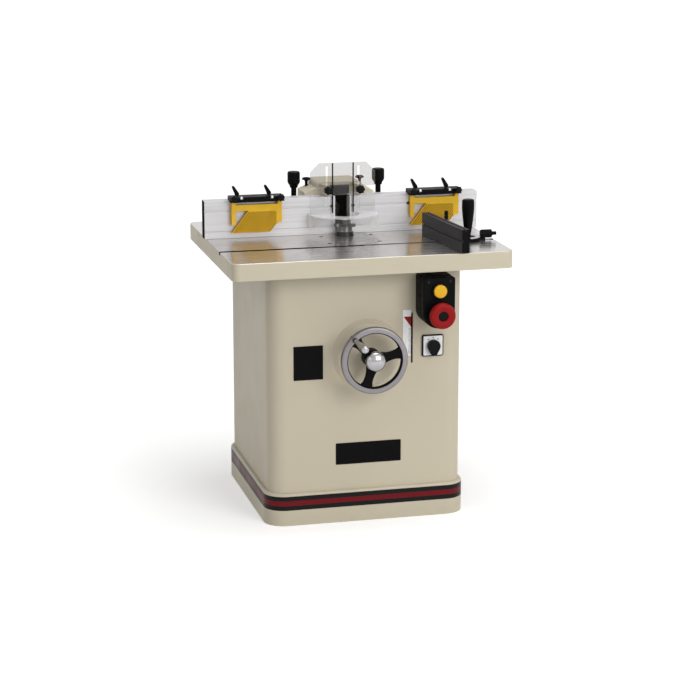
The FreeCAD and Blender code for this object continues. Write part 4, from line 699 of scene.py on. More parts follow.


# The slot and the holes get black enamel as painted shade, since little light reaches down into them.
def is_shaded_cut(middle, normal):
    in_slot = abs(middle.y - SLOT_Y) < SLOT_HALF
    in_hole = any((Vector((abs(middle.x), middle.y)) - hole).length < HOLE_REACH for hole in HOLES)
    return (in_slot or in_hole) and table_top - SLOT_DEEP < middle.z < table_top - CUT_LIP


table = softened("table", TABLE_BEVEL, cream_paint)
for finish, chosen in ((table_iron, is_ground), (iron_casting, is_underside), (black_casting, is_shaded_cut)):
    paint_where(table, finish, chosen)
dress(table, "table")
print("table top at", round(table_top, 3), "faces:", len(table.data.polygons))

# %% [markdown]
# ## Insert rings
# The rings that fill the hole round the spindle are held by small screws, which show through the guard.
# Three copies could be placed by hand, but the ring tree spaces them evenly by itself.

# %% Ring screws
RING_SCREW_RADIUS, RING_SCREW_TALL, RING_SCREW_SUNK = 0.0042, 0.0006, 0.0004
RING_SCREW_CIRCLE = 0.065
ring_screw = cap_screw(RING_SCREW_RADIUS, RING_SCREW_TALL, dark_steel)
screws = repeated("ring_screws", RING, ring_screw, at(0, 0, table_top - RING_SCREW_SUNK),
                  Count=3, Radius=RING_SCREW_CIRCLE)
dress(screws, "insert_ring_outer", hides=False)

# %% [markdown]
# ## Handwheel
# A cast wheel: the rim is turned to a satin face, while the spokes and the inside of the rim stay in black
# enamel. A torus would be quicker, but its round section lacks the flat face of a turned rim. So the rim is
# a lathe profile in two finishes, and each spoke is an outline with hollow flanks.

# %% Rim and hub
wheel_low, wheel_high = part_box("handwheel")
wheel_z = middle_of("handwheel").z
rim_radius, rim_front, hub_back = wheel_high.x, wheel_low.y, wheel_high.y
RIM_DEEP, RIM_WIDE, RIM_ROUND, RIM_STEPS = 0.022, 0.021, 0.0062, 128
ENAMEL_WIDE, ENAMEL_SUNK, CAST_ROUND = 0.0035, 0.0006, 0.003
HUB_RADIUS, HUB_DEEP, SHAFT_RADIUS = 0.030, 0.060, 0.009
inner = rim_radius - RIM_WIDE
seam = inner + ENAMEL_WIDE
rim_place = at(0, rim_front + RIM_DEEP, wheel_z, FRONT)
bright_line = eased(ring_line(seam, rim_radius, RIM_DEEP, 0.0), RIM_ROUND, 6)
bright_rim = lathe("bright_rim", bright_line, rim_place, rim_metal, RIM_STEPS)
enamel_line = [(seam, ENAMEL_SUNK), (inner, CAST_ROUND), (inner, RIM_DEEP - CAST_ROUND),
               (seam, RIM_DEEP - ENAMEL_SUNK), (seam, ENAMEL_SUNK)]
black_rim = lathe("black_rim", eased(enamel_line, CAST_ROUND), rim_place, black_casting, RIM_STEPS)
hub_line = eased(ring_line(SHAFT_RADIUS, HUB_RADIUS, 0.0, HUB_DEEP), CAST_ROUND)
hub = lathe("hub", hub_line, at(0, hub_back, wheel_z, FRONT), black_casting)
print("wheel radius", round(rim_radius, 3), "at height", round(wheel_z, 3))

# %% Spokes
SPOKE_DEEP, SPOKE_TURNS = 0.014, (13, 133, 253)
SPOKE_HALF = [(0.0, 0.020), (0.030, 0.0195), (0.036, 0.0165), (0.044, 0.0145), (0.056, 0.0135),
              (0.070, 0.0142), (0.079, 0.0165), (0.086, 0.0205), (0.092, 0.0225)]
spoke_line = SPOKE_HALF + [(along, -across) for along, across in reversed(SPOKE_HALF)]
spoke_y = rim_front + (RIM_DEEP + SPOKE_DEEP) / 2
spokes = []
for turn in SPOKE_TURNS:
    spoke_place = at(0, spoke_y, wheel_z, FRONT @ turned_by(turn))
    spokes.append(slab("spoke", spoke_line, SPOKE_DEEP, spoke_place, black_casting, CAST_ROUND, 3))
dress(joined("handwheel_cast", [bright_rim, black_rim, hub, *spokes]), "handwheel")
print("spokes:", len(spokes))

# %% [markdown]
# The crank handle is a slim cone of polished steel that swells to the hand, on a black shoulder. The lock
# knob in the middle is a polished dome. Both are turned on the real machine too, so a profile of a few points
# gives their swell and their roundness at once.

# %% Crank handle and lock knob
crank_low, crank_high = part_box("crank_handle")
crank_middle = middle_of("crank_handle")
RIM_GAP, PIN_RADIUS, PIN_HEAD, PIN_HEAD_TALL = 0.0003, 0.005, 0.009, 0.005
SHOULDER, SHOULDER_TALL = 0.0085, 0.006
GRIP_START, GRIP_FOOT, GRIP_NECK, GRIP_ROUND = 0.0062, 0.0062, (0.0066, 0.014), 0.008
GRIP_SWELL_SHARES = [(0.0082, 0.36), (0.0116, 0.64), (0.0130, 0.84), (0.0122, 0.96), (0.0078, 1.0), (0, 1.0)]
crank_start = rim_front - RIM_GAP
length = crank_start - crank_low.y
tail = crank_high.y - crank_start
crank_place = at(crank_middle.x, crank_start, crank_middle.z, FRONT)
pin_neck = -tail + PIN_HEAD_TALL
pin_line = [(0, -tail), (PIN_HEAD, -tail), (PIN_HEAD, pin_neck), (PIN_RADIUS, pin_neck), (PIN_RADIUS, 0.0),
            (SHOULDER, 0.0), (SHOULDER, SHOULDER_TALL), (0, SHOULDER_TALL)]
pin = lathe("crank_pin", pin_line, crank_place, dark_steel, 40)
swell = [(radius, length * share) for radius, share in GRIP_SWELL_SHARES]
grip_line = eased([(0, GRIP_START), (GRIP_FOOT, GRIP_START), GRIP_NECK, *swell], GRIP_ROUND, 6)
grip = lathe("crank_grip", grip_line, crank_place, polished, 56)
dress(joined("crank_turned", [pin, grip]), "crank_handle")

lock_low, lock_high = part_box("lock_knob")
LOCK_DEEP, LOCK_RADIUS, LOCK_SKIRT, LOCK_STUD = 0.030, 0.033, 0.010, 0.005
LOCK_FOOT = [(0.030, 0.0), (0.0325, 0.004)]
lock_back = lock_low.y + LOCK_DEEP
stud = lock_high.y - lock_back
quarter = arc((0, 0), 1.0, 0, 90, 20)
dome = [(LOCK_RADIUS * u, LOCK_SKIRT + (LOCK_DEEP - LOCK_SKIRT) * v) for u, v in quarter[:-1]]
lock_line = [(0, -stud), (LOCK_STUD, -stud), (LOCK_STUD, 0.0), *LOCK_FOOT, *dome, (0, LOCK_DEEP)]
dress(lathe("lock_dome", lock_line, at(0, lock_back, wheel_z, FRONT), polished, 96), "lock_knob")
print("crank length", round(length, 3))

# %% [markdown]
# ## Switch box
# A black moulded box with a round foot, split by a seam. The amber start button sits in a bezel, and the red
# stop button is a broad mushroom with a dark well, as on any machine that has to stop at a slap of the hand.
# One bevelled block could stand for the box, but the seam would then have to be painted on. Two slabs with a
# narrower neck between them give it real depth.

# %% Switch box
box_low, box_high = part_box("switch_box")
box_middle = middle_of("switch_box")
start_middle, stop_middle = middle_of("start_button"), middle_of("stop_button")
half_wide = (box_high.x - box_low.x) / 2
box_deep = box_high.y - box_low.y
CHAMFER, SEAM_DEEP, SEAM_WIDE = 0.004, 0.058, 0.002
NECK_WIDE_SHARE, NECK_TALL_SHARE = 0.975, 0.985
BACK_ROUND, COVER_ROUND, BEZEL_ROUND, COLLAR_ROUND = 0.0012, 0.0055, 0.001, 0.0015
BEZEL = [(0.0215, 0.0), (0.0262, 0.0), (0.0262, 0.0075), (0.0240, 0.0095), (0.0215, 0.0090), (0.0215, 0.0)]
COLLAR = [(0.0180, 0.0), (0.0280, 0.0), (0.0280, 0.0145), (0.0255, 0.0165), (0.0180, 0.0165), (0.0180, 0.0)]
shoulders = [(half_wide, box_high.z - CHAMFER), (half_wide - CHAMFER, box_high.z),
             (CHAMFER - half_wide, box_high.z), (-half_wide, box_high.z - CHAMFER)]
outline = arc((0, box_low.z + half_wide), half_wide, 180, 360, 28) + shoulders
neck = [(u * NECK_WIDE_SHARE, (v - box_middle.z) * NECK_TALL_SHARE + box_middle.z) for u, v in outline]


def box_place(stand):
    return at(box_middle.x, box_high.y - stand, 0, FRONT)


box_pieces = [slab("box_back", outline, SEAM_DEEP - SEAM_WIDE, box_place(0.0), black_plastic, BACK_ROUND),
              slab("box_seam", neck, SEAM_WIDE * 3, box_place(SEAM_DEEP - SEAM_WIDE * 2), black_plastic),
              slab("box_cover", outline, box_deep - SEAM_DEEP, box_place(SEAM_DEEP), black_plastic,
                   COVER_ROUND, 4),
              lathe("bezel", eased(BEZEL, BEZEL_ROUND), at(start_middle.x, box_low.y, start_middle.z, FRONT),
                    black_gloss),
              lathe("collar", eased(COLLAR, COLLAR_ROUND), at(stop_middle.x, box_low.y, stop_middle.z, FRONT),
                    black_plastic)]
dress(joined("switch_box_moulded", box_pieces), "switch_box")
print("box", round(half_wide * 2, 3), "wide and", round(box_deep, 3), "deep")

# %% Cover screws
COVER_SCREW_RADIUS, COVER_SCREW_TALL, COVER_SCREW_SUNK = 0.0032, 0.0012, 0.0006
COVER_SCREW_APART, COVER_SCREW_DROP = 0.072, 0.013
cover_screw = cap_screw(COVER_SCREW_RADIUS, COVER_SCREW_TALL, dark_steel, FRONT)
first_screw = (box_middle.x - COVER_SCREW_APART / 2, box_low.y + COVER_SCREW_SUNK,
               box_high.z - COVER_SCREW_DROP)
corner_screws = repeated("cover_screws", ROW, cover_screw, Count=2, Step=(COVER_SCREW_APART, 0, 0),
                         Start=first_screw)
dress(corner_screws, "switch_box", hides=False)

# %% Start and stop buttons
start_low, start_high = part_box("start_button")
start_deep = start_high.y - start_low.y
START_RADIUS, START_ROUND = 0.021, 0.0016
START_CROWN = [(START_RADIUS, START_ROUND), (0.0185, 0.0003), (0.006, 0.0), (0, 0.0)]
start_line = eased([(0, 0), (START_RADIUS, 0), *below(start_deep, START_CROWN)], START_ROUND, 5)
start_place = at(start_middle.x, start_high.y, start_middle.z, FRONT)
dress(lathe("start_cap", start_line, start_place, amber_plastic), "start_button")

stop_low, stop_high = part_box("stop_button")
face = stop_high.y - stop_low.y
stop_place = at(stop_middle.x, stop_high.y, stop_middle.z, FRONT)
STEM_RADIUS, STOP_DEEP, STOP_ROUND = 0.017, 0.022, 0.003
WELL_RADIUS, WELL_DEEP, CORE_RADIUS, CORE_ROUND = 0.0158, 0.009, 0.0156, 0.001
CORE_FLOOR, CORE_FACE, STEM_TOP = 0.0092, 0.0062, 0.0222
STOP_CAP = [(STEM_RADIUS, STOP_DEEP), (0.040, STOP_DEEP), (0.042, 0.018), (0.042, 0.008), (0.039, 0.0015),
            (0.030, 0.0), (0.0185, 0.0010), (WELL_RADIUS, 0.003), (WELL_RADIUS, WELL_DEEP), (0.0, WELL_DEEP)]
red_line = [(0, face - STOP_DEEP), *eased(below(face, STOP_CAP), STOP_ROUND, 5)]
core_line = eased(rod_line(CORE_RADIUS, face - CORE_FLOOR, face - CORE_FACE), CORE_ROUND)
stop_pieces = [lathe("stop_red", red_line, stop_place, red_plastic, 96),
               lathe("stop_core", core_line, stop_place, black_gloss, 48),
               lathe("stop_stem", rod_line(STEM_RADIUS, 0, face - STEM_TOP), stop_place, black_plastic, 48)]
dress(joined("stop_mushroom", stop_pieces), "stop_button")
print("stop button stands", round(face, 3))

# %% [markdown]
# ## Selector and plates
# The selector is a white printed plate in a black frame with a pear-shaped knob. The scale strip is plain
# white with ticks and a red wedge, and the two plates below are left blank. The marks could be painted in a
# material, but as thin slabs they stay crisp from close by.

# %% Selector plate
plate_low, plate_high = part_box("selector_plate")
plate_middle = middle_of("selector_plate")
side = (plate_high.x - plate_low.x) / 2
INLAY, BORDER, INLAY_PROUD = 0.0012, 0.0035, 0.0005
FRAME_CORNER, FRAME_ROUND, INLAY_CORNER, INLAY_ROUND = 0.006, 0.0012, 0.003, 0.0004
TICK_START, TICK_END, TICK_HALF, TICK_PROUD, TICK_TURNS = 0.0245, 0.0292, 0.0011, 0.0003, (52, 90, 128)


def selector_place(y, turn=UP):
    return at(plate_middle.x, y, plate_middle.z, FRONT @ turn)


frame_deep = plate_high.y - plate_low.y - INLAY_PROUD
frame_piece = slab("selector_frame", round_square(side, side, FRAME_CORNER), frame_deep,
                   selector_place(plate_high.y), black_plastic, FRAME_ROUND)
inlay = slab("selector_inlay", round_square(side - BORDER, side - BORDER, INLAY_CORNER), INLAY,
             selector_place(plate_low.y + INLAY), white_print, INLAY_ROUND)
tick_line = bar_line(TICK_START, TICK_END, TICK_HALF)
ticks = [slab("tick", tick_line, TICK_PROUD, selector_place(plate_low.y, turned_by(turn)), black_gloss)
         for turn in TICK_TURNS]
dress(joined("selector_face", [frame_piece, inlay]), "selector_plate")
dress(joined("selector_ticks", ticks), "selector_plate", hides=False)
print("selector side", round(2 * side, 3))

# %% Selector knob
KNOB_GAP, PEAR_RADIUS, PEAR_DEEP, PEAR_ROUND = 0.0003, 0.021, 0.018, 0.0025
PEAR_TIP = [(-0.0085, -0.0285), (-0.0055, -0.031), (0.0055, -0.031), (0.0085, -0.0285)]
RIDGE_U, RIDGE_V, RIDGE_CORNER, RIDGE_ROUND = 0.0045, 0.0205, 0.004, 0.001
RIDGE_DEEP, RIDGE_LIFT = 0.0177, 0.0002
SHANK_RADIUS, SHANK_BACK, SHANK_FRONT = 0.006, -0.006, 0.001
knob_face = plate_low.y - KNOB_GAP
pear = arc((0, 0), PEAR_RADIUS, -32, 212, 40) + PEAR_TIP
knob_pieces = [slab("pear", pear, PEAR_DEEP, selector_place(knob_face), black_gloss, PEAR_ROUND, 4),
               slab("ridge", round_square(RIDGE_U, RIDGE_V, RIDGE_CORNER), RIDGE_DEEP,
                    selector_place(knob_face - RIDGE_LIFT), black_plastic, RIDGE_ROUND),
               lathe("shank", rod_line(SHANK_RADIUS, SHANK_BACK, SHANK_FRONT), selector_place(knob_face),
                     black_plastic, 32)]
dress(joined("selector_pear", knob_pieces), "selector_knob")
print("knob pieces:", len(knob_pieces))

# %% Scale strip and blank plates
wall_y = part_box("front_plates")[1].y
STRIP_THICK, STRIP_CORNER, PLATE_THICK, PLATE_BEVEL = 0.0015, 0.001, 0.0012, 0.0003
FIELD_BORDER, FIELD_LIFT, FIELD_THICK, FIELD_CORNER = 0.0030, 0.0009, 0.0006, 0.002
SCALE_X, SCALE_Z, SCALE_U, SCALE_V = 0.1315, 0.618, 0.0135, 0.076
WEDGE_LEFT, WEDGE_LOW, WEDGE_HIGH, PRINT_PROUD = -0.0115, 0.019, 0.054, 0.0002
BLANK_PLATES = (("label", -0.195, 0.537, 0.0485, 0.056, 0.002), ("name", 0.004, 0.228, 0.109, 0.036, 0.003))


def wall_plate(name, x, z, half_u, half_v, corner, thick, finish, lift=0.0):
    face = at(x, wall_y - lift, z, FRONT)
    return slab(name, round_square(half_u, half_v, corner), thick, face, finish, PLATE_BEVEL, 1)


wedge_line = [(WEDGE_LEFT, WEDGE_HIGH), (SCALE_U, WEDGE_LOW), (SCALE_U, WEDGE_HIGH)]
strip_face = at(SCALE_X, wall_y - STRIP_THICK, SCALE_Z, FRONT)
plates = [wall_plate("strip", SCALE_X, SCALE_Z, SCALE_U, SCALE_V, STRIP_CORNER, STRIP_THICK, white_print),
          slab("wedge", wedge_line, PRINT_PROUD, strip_face, red_plastic)]
for name, x, z, half_u, half_v, corner in BLANK_PLATES:
    plates.append(wall_plate(name, x, z, half_u, half_v, corner, PLATE_THICK, black_gloss))
    plates.append(wall_plate(name + "_field", x, z, half_u - FIELD_BORDER, half_v - FIELD_BORDER,
                             FIELD_CORNER, FIELD_THICK, black_plastic, FIELD_LIFT))
dress(joined("front_plates_set", plates), "front_plates")

SCALE_TICK, SCALE_TICK_HALF, SCALE_STEP, SCALE_FOOT = 0.0085, 0.0004, 0.004, 0.006
tick = slab("scale_tick", bar_line(-SCALE_TICK, 0.0, SCALE_TICK_HALF), PRINT_PROUD, FRONT, black_gloss)
first_tick = (SCALE_X + SCALE_U, wall_y - STRIP_THICK, SCALE_Z - SCALE_V + SCALE_FOOT)
marks = repeated("scale_ticks", ROW, tick, Count=22, Step=(0, 0, SCALE_STEP), Start=first_tick)
dress(marks, "front_plates", hides=False)

# %% [markdown]
# ## Fence and hood
# Two aluminium extrusions with black end caps stand on either side of the cutter, on an enamelled hood that
# takes the chips to the back. Their CAD shapes are right, so copies with bevelled edges do, which keeps the
# grooves crisp, and dark screws hold the faces. The inside of the hood, the bore of its port and the inner
# ends of the fences at the gap get a dull dark grey as painted shade, since little light reaches them. Those
# faces are found by their place, which is less work than splitting the mesh.

# %% Fence faces
SIDES = {"left": -1, "right": 1}
fence_start, fence_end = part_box("fence_right")[0].x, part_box("fence_right")[1].x
FENCE_BEVEL, END_SKIN = 0.0004, 0.0006
BOLT_RADIUS, BOLT_TALL, BOLT_SUNK = 0.0056, 0.0034, 0.0032
BOLT_X, BOLT_APART, BOLT_DROP = 0.0365, 0.190, 0.0325


def is_inner_end(middle, normal):
    return abs(middle.x) < fence_start + END_SKIN


def is_outer_end(middle, normal):
    return abs(middle.x) > fence_end - END_SKIN


for side_name, sign in SIDES.items():
    node = "fence_" + side_name
    low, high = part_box(node)
    extrusion = softened(node, FENCE_BEVEL, fence_metal)
    # The inner end at the gap between the fences gets painted shade.
    paint_where(extrusion, painted_shade_grey, is_inner_end)
    paint_where(extrusion, cap_rubber, is_outer_end)
    dress(extrusion, node)
    bolt = cap_screw(BOLT_RADIUS, BOLT_TALL, dark_steel, FRONT)
    bolts = repeated("face_bolts_" + side_name, ROW, bolt, Count=2, Step=(sign * BOLT_APART, 0, 0),
                     Start=(sign * BOLT_X, low.y + BOLT_SUNK, high.z - BOLT_DROP))
    dress(bolts, node, hides=False)

# %% Hood
hood_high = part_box("fence_hood")[1]
HOOD_BEVEL, SPIGOT_LONG, WALL, CHAMBER_HALF, MOUTH_DEEP = 0.0022, 0.055, 0.010, 0.0685, 0.05
ROOF_SKIN, BACK_SKIN, BORE_SKIN, SQUARE = 0.009, 0.0025, 0.0012, 0.9
BEAD_BACK, BEAD_EASE = 0.004, 0.001
BEAD = [(-0.001, 0.0), (0.0012, 0.0012), (0.0012, 0.0042), (-0.001, 0.0054), (-0.0015, 0.0027), (-0.001, 0.0)]
chamber_back = hood_high.y - SPIGOT_LONG - WALL
port = next(mount for mount in record["mounts"] if mount["name"] == "dust_port")
port_x, port_z = port["pos_m"][0], port["pos_m"][2]
port_rim = port["dims"]["r_mm"] / 1000


def is_inside(middle, normal):
    if abs(middle.x) > CHAMBER_HALF or middle.z > hood_high.z - ROOF_SKIN:
        return False
    if middle.y > chamber_back + WALL - BACK_SKIN:
        from_axis = Vector((middle.x - port_x, middle.z - port_z)).length
        return abs(normal.y) < FACING and from_axis < port_rim - BORE_SKIN
    outward = normal.y < -SQUARE and middle.y < chamber_back - MOUTH_DEEP
    return not outward and middle.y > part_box("fence_left")[1].y


# The inside of the hood and the bore of its port get painted shade.
hood = paint_where(softened("fence_hood", HOOD_BEVEL, cream_paint, 3), painted_shade_grey, is_inside)
dress(hood, "fence_hood")
bead_line = eased([(port_rim + out, along) for out, along in BEAD], BEAD_EASE)
bead_place = at(port_x, hood_high.y - BEAD_BACK, port_z, FRONT)
dress(lathe("port_bead", bead_line, bead_place, cream_paint, 96), "fence_hood", hides=False)
print("hood top at", round(hood_high.z, 3))

# %% [markdown]
# The fence is held to the table by two tall handles, whose fluted heads stand clear of the hood, and each
# face by a small mushroom knob on the shoulder of the hood. Their waists would be slow to shape by hand from
# a cylinder, so all four are spun from profiles, and the ring tree adds the flutes.

# %% Clamp handles
CLAMP_SEAT, CLAMP_STUD, CLAMP_EASE = 0.0386, 0.006, 0.001
WASHER_RADIUS, WASHER_EDGE, WASHER_TALL = 0.016, 0.0044, 0.005
POST_RADIUS, POST_EASE = 0.009, 0.003
POST_HEAD = [(POST_RADIUS, 0.055), (0.0130, 0.053), (0.0140, 0.046), (0.0202, 0.038), (0.0205, 0.003),
             (0.0185, 0.0), (0.0, 0.0)]
FLUTE = [(-0.0006, -0.0017), (0.0005, -0.0012), (0.0005, 0.0012), (-0.0006, 0.0017)]
FLUTE_LONG, FLUTE_BEVEL, FLUTE_DROP, FLUTE_CIRCLE = 0.030, 0.0004, 0.035, 0.0204
washer_top = CLAMP_SEAT + WASHER_TALL
washer_line = [(0, CLAMP_SEAT), (WASHER_RADIUS, CLAMP_SEAT), (WASHER_RADIUS, CLAMP_SEAT + WASHER_EDGE),
               (POST_RADIUS, washer_top), (0, washer_top)]
for side_name in SIDES:
    node = "clamp_handle_" + side_name
    low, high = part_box(node)
    middle = middle_of(node)
    place = at(middle.x, middle.y, low.z)
    post_line = [(0, washer_top), (POST_RADIUS, washer_top), *below(high.z - low.z, POST_HEAD)]
    pieces = [lathe("stud", eased(rod_line(CLAMP_STUD, 0, CLAMP_SEAT), CLAMP_EASE), place, steel, 32),
              lathe("washer", eased(washer_line, CLAMP_EASE), place, steel, 48),
              lathe("post", eased(post_line, POST_EASE), place, black_plastic, 48)]
    flute = slab("flute", FLUTE, FLUTE_LONG, UP, black_plastic, FLUTE_BEVEL, 1)
    flute_place = at(middle.x, middle.y, high.z - FLUTE_DROP)
    pieces.append(repeated("clamp_flutes_" + side_name, RING, flute, flute_place, Count=18,
                           Radius=FLUTE_CIRCLE))
    dress(joined("clamp_" + side_name, pieces), node)

# %% Fence locks
LOCK_STEM, MUSHROOM_EASE = 0.005, 0.0022
MUSHROOM = [(LOCK_STEM, 0.013), (0.0085, 0.0095), (0.0145, 0.0085), (0.015, 0.0055), (0.0115, 0.0012),
            (0.004, 0.0), (0, 0.0)]
for side_name in SIDES:
    node = "fence_lock_" + side_name
    low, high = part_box(node)
    middle = middle_of(node)
    cap_line = eased([(0, 0), (LOCK_STEM, 0), *below(high.z - low.z, MUSHROOM)], MUSHROOM_EASE, 5)
    cap = lathe("lock_mushroom_" + side_name, cap_line, at(middle.x, middle.y, low.z), black_plastic, 48)
    dress(cap, node)
print("handles dressed")

# %% [markdown]
# ## Guard
# The guard is acrylic sheet: a plate with two slots and a smoked band along the top, two dark ribs and a
# clear half drum round the cutter. Thin sheet hardly bends the light, so alpha does for it, and it rises
# where the sheet turns away. Two star knobs on long necks hold it. A star knob is a turned profile whose
# radius waves as it goes round.

# %% Guard
def split_level(piece, height):
    """Cuts a mesh along a level line, so that the faces on either side can differ."""
    bm = bmesh.new()
    bm.from_mesh(piece.data)
    everything = [*bm.verts, *bm.edges, *bm.faces]
    bmesh.ops.bisect_plane(bm, geom=everything, plane_co=(0, 0, height), plane_no=(0, 0, 1))
    bm.to_mesh(piece.data)
    bm.free()


plate_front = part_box("guard_visor")[1].y
GUARD_BEVEL, SMOKE_DROP, RIB_SKIN = 0.0005, 0.008, 0.0004
smoke_level = hood_high.z - SMOKE_DROP
guard = softened("guard_plate", GUARD_BEVEL, clear_acrylic)
split_level(guard, smoke_level)
paint_where(guard, smoked_acrylic, lambda middle, normal: middle.z > smoke_level)
paint_where(guard, black_plastic, lambda middle, normal: middle.y < plate_front - RIB_SKIN)
dress(guard, "guard_plate")
dress(softened("guard_visor", GUARD_BEVEL, clear_acrylic), "guard_visor")
print("guard faces:", len(guard.data.polygons))

# %% Star knobs of the guard
STAR_EASE, STAR_LOBES, STAR_DEPTH, STAR_OVERLAP = 0.003, 7, 0.14, 0.001
STAR_SHARES = [(0, 0), (0.90, 0), (1, 0.2), (1, 0.7), (0.72, 1), (0, 1)]
GUARD_KNOB_RADIUS, GUARD_KNOB_DEEP, GUARD_STUD = 0.015, 0.018, 0.0039
GUARD_NECK_RADIUS, GUARD_NECK = 0.009, 0.018


def star_knob(place, radius, deep, neck_radius, neck):
    """The pieces of a hand knob with lobes, seen from the front, on its neck."""
    line = [(radius * out, neck + deep * up) for out, up in STAR_SHARES]
    return [lathe("grip", eased(line, STAR_EASE), place, black_gloss, 72, STAR_LOBES, STAR_DEPTH),
            lathe("neck", rod_line(neck_radius, 0, neck + STAR_OVERLAP), place, black_plastic, 40)]


for side_name in SIDES:
    node = "guard_knob_" + side_name
    low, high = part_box(node)
    middle = middle_of(node)
    face_y = low.y + GUARD_KNOB_DEEP + GUARD_NECK
    place = at(middle.x, face_y, middle.z, FRONT)
    pieces = star_knob(place, GUARD_KNOB_RADIUS, GUARD_KNOB_DEEP, GUARD_NECK_RADIUS, GUARD_NECK)
    pieces.append(lathe("stud", rod_line(GUARD_STUD, face_y - high.y, 0.0), place, steel, 24))
    dress(joined("guard_star_" + side_name, pieces), node)
print("guard dressed")

# %% [markdown]
# ## Feather boards
# Yellow combs hold the work against the fence. Each hangs from a black bar that is clamped to the top of the
# fence by two small levers, and its own two star knobs set its height. The combs keep their CAD slits, and
# the walls of the fingers get a deeper yellow as painted shade, because little light gets in between.
# The plain discs of the CAD bar are cut off the copy and star knobs put in their place, made by the same
# function as the guard's.

# %% Combs
COMB_BEVEL, BEAM_DROP, WALL_FACING, RAIL_CAP = 0.0005, 0.046, 0.3, 0.0012
for side_name in SIDES:
    node = "feather_comb_" + side_name
    comb_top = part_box(node)[1].z
    comb = softened(node, COMB_BEVEL, yellow_plastic, 1)
    # The side faces of the fingers get painted shade.
    paint_where(comb, finger_shade_yellow,
                lambda middle, normal: abs(normal.y) < WALL_FACING and middle.z < comb_top - BEAM_DROP)
    split_level(comb, comb_top - RAIL_CAP)
    paint_where(comb, black_plastic, lambda middle, normal: middle.z > comb_top - RAIL_CAP)
    dress(comb, node)
print("combs dressed, with their fingers", BEAM_DROP, "under the top")

# %% Bars with their knobs and screws
BAR_BEVEL, BAR_STAND, BAR_SKIN = 0.0008, 0.030, 0.0005
BAR_KNOB_RADIUS, BAR_KNOB_DEEP, BAR_NECK_RADIUS, BAR_NECK = 0.0128, 0.0108, 0.007, 0.003
BAR_KNOB_INSET, BAR_KNOB_DROP, BAR_KNOB_SUNK = 0.007, 0.0085, 0.0002
BAR_SCREW_PLACES, BAR_SCREW_SUNK, BAR_SCREW_DROP, BAR_SCREW_EASE = (0.0376, 0.1396), 0.0045, 0.007, 0.0008
BAR_SCREW = [(0, 0), (0.0047, 0), (0.0047, 0.004), (0.0030, 0.0058), (0, 0.0062)]
for side_name in SIDES:
    node = "feather_bar_" + side_name
    low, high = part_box(node)
    comb_low, comb_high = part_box("feather_comb_" + side_name)
    bar_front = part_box("fence_" + side_name)[0].y - BAR_STAND
    pieces = [softened(node, BAR_BEVEL, black_plastic, keep=lambda corner: corner.y > bar_front - BAR_SKIN)]
    for knob_x in (comb_low.x + BAR_KNOB_INSET, comb_high.x - BAR_KNOB_INSET):
        place = at(knob_x, bar_front + BAR_KNOB_SUNK, high.z - BAR_KNOB_DROP, FRONT)
        pieces += star_knob(place, BAR_KNOB_RADIUS, BAR_KNOB_DEEP, BAR_NECK_RADIUS, BAR_NECK)
    for along in BAR_SCREW_PLACES:
        place = at(low.x + along, bar_front + BAR_SCREW_SUNK, high.z - BAR_SCREW_DROP, FRONT)
        pieces.append(lathe("bar_screw", eased(BAR_SCREW, BAR_SCREW_EASE), place, white_print, 24))
    dress(joined("feather_bar_set_" + side_name, pieces), node)
print("bar screws at", BAR_SCREW_PLACES)

# %% Clamp levers
LEVER_LEAN, LEVER_HUB, LEVER_TIP, LEVER_ARM, LEVER_ROUND = 28, 0.007, 0.0042, 0.0255, 0.0016
for side_name in SIDES:
    for end in ("outer", "inner"):
        node = "cam_lever_{}_{}".format(side_name, end)
        low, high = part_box(node)
        place = at(high.x - LEVER_HUB, high.y, low.z + LEVER_HUB, FRONT @ turned_by(LEVER_LEAN))
        lever_line = lever_outline(LEVER_HUB, LEVER_TIP, LEVER_ARM)
        lever = slab(node + "_cast", lever_line, high.y - low.y, place, black_plastic, LEVER_ROUND, 3)
        dress(lever, node)
print("feather boards dressed")

# %% [markdown]
# ## Mitre gauge
# A bar slides in the slot of the table and carries a cast head with a long black block and a small bright
# protractor. The tall grip pushes the work past the cutter. The cast pieces only need softer edges, while the
# grip is spun and the degree marks are thin slabs, turned about the pivot one by one.

# %% Bar, head and block
grip_low, grip_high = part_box("mitre_grip")
grip_middle = middle_of("mitre_grip")
BAR_EDGE, HEAD_EDGE, BLOCK_EDGE, HANDLE_EDGE = 0.0006, 0.0010, 0.0008, 0.0015
BAR_PROUD, BLOCK_FACING = 0.0015, 0.8
KNURL_RIDGE = [(-0.0004, -0.0006), (0.0004, 0.0), (-0.0004, 0.0006)]
KNURL_X, KNURL_Z, KNURL_RADIUS, KNURL_LONG = 0.412, 0.020, 0.013, 0.032
bar = softened("mitre_bar", BAR_EDGE, dark_steel)
paint_where(bar, black_plastic, lambda middle, normal: middle.z > table_top + BAR_PROUD)
dress(bar, "mitre_bar")
ridge = slab("ridge", KNURL_RIDGE, KNURL_LONG, UP, black_plastic)
knurl_place = at(KNURL_X, grip_middle.y, table_top + KNURL_Z, RIGHT)
knurl = repeated("plunger_knurl", RING, ridge, knurl_place, Count=28, Radius=KNURL_RADIUS)
dress(knurl, "mitre_bar", hides=False)
dress(softened("mitre_head", HEAD_EDGE, black_casting), "mitre_head")
block = softened("mitre_block", BLOCK_EDGE, anodised)
paint_where(block, black_plastic, lambda middle, normal: abs(normal.y) > BLOCK_FACING)
dress(block, "mitre_block")
dress(softened("mitre_lever", HANDLE_EDGE, black_plastic, 3), "mitre_lever")

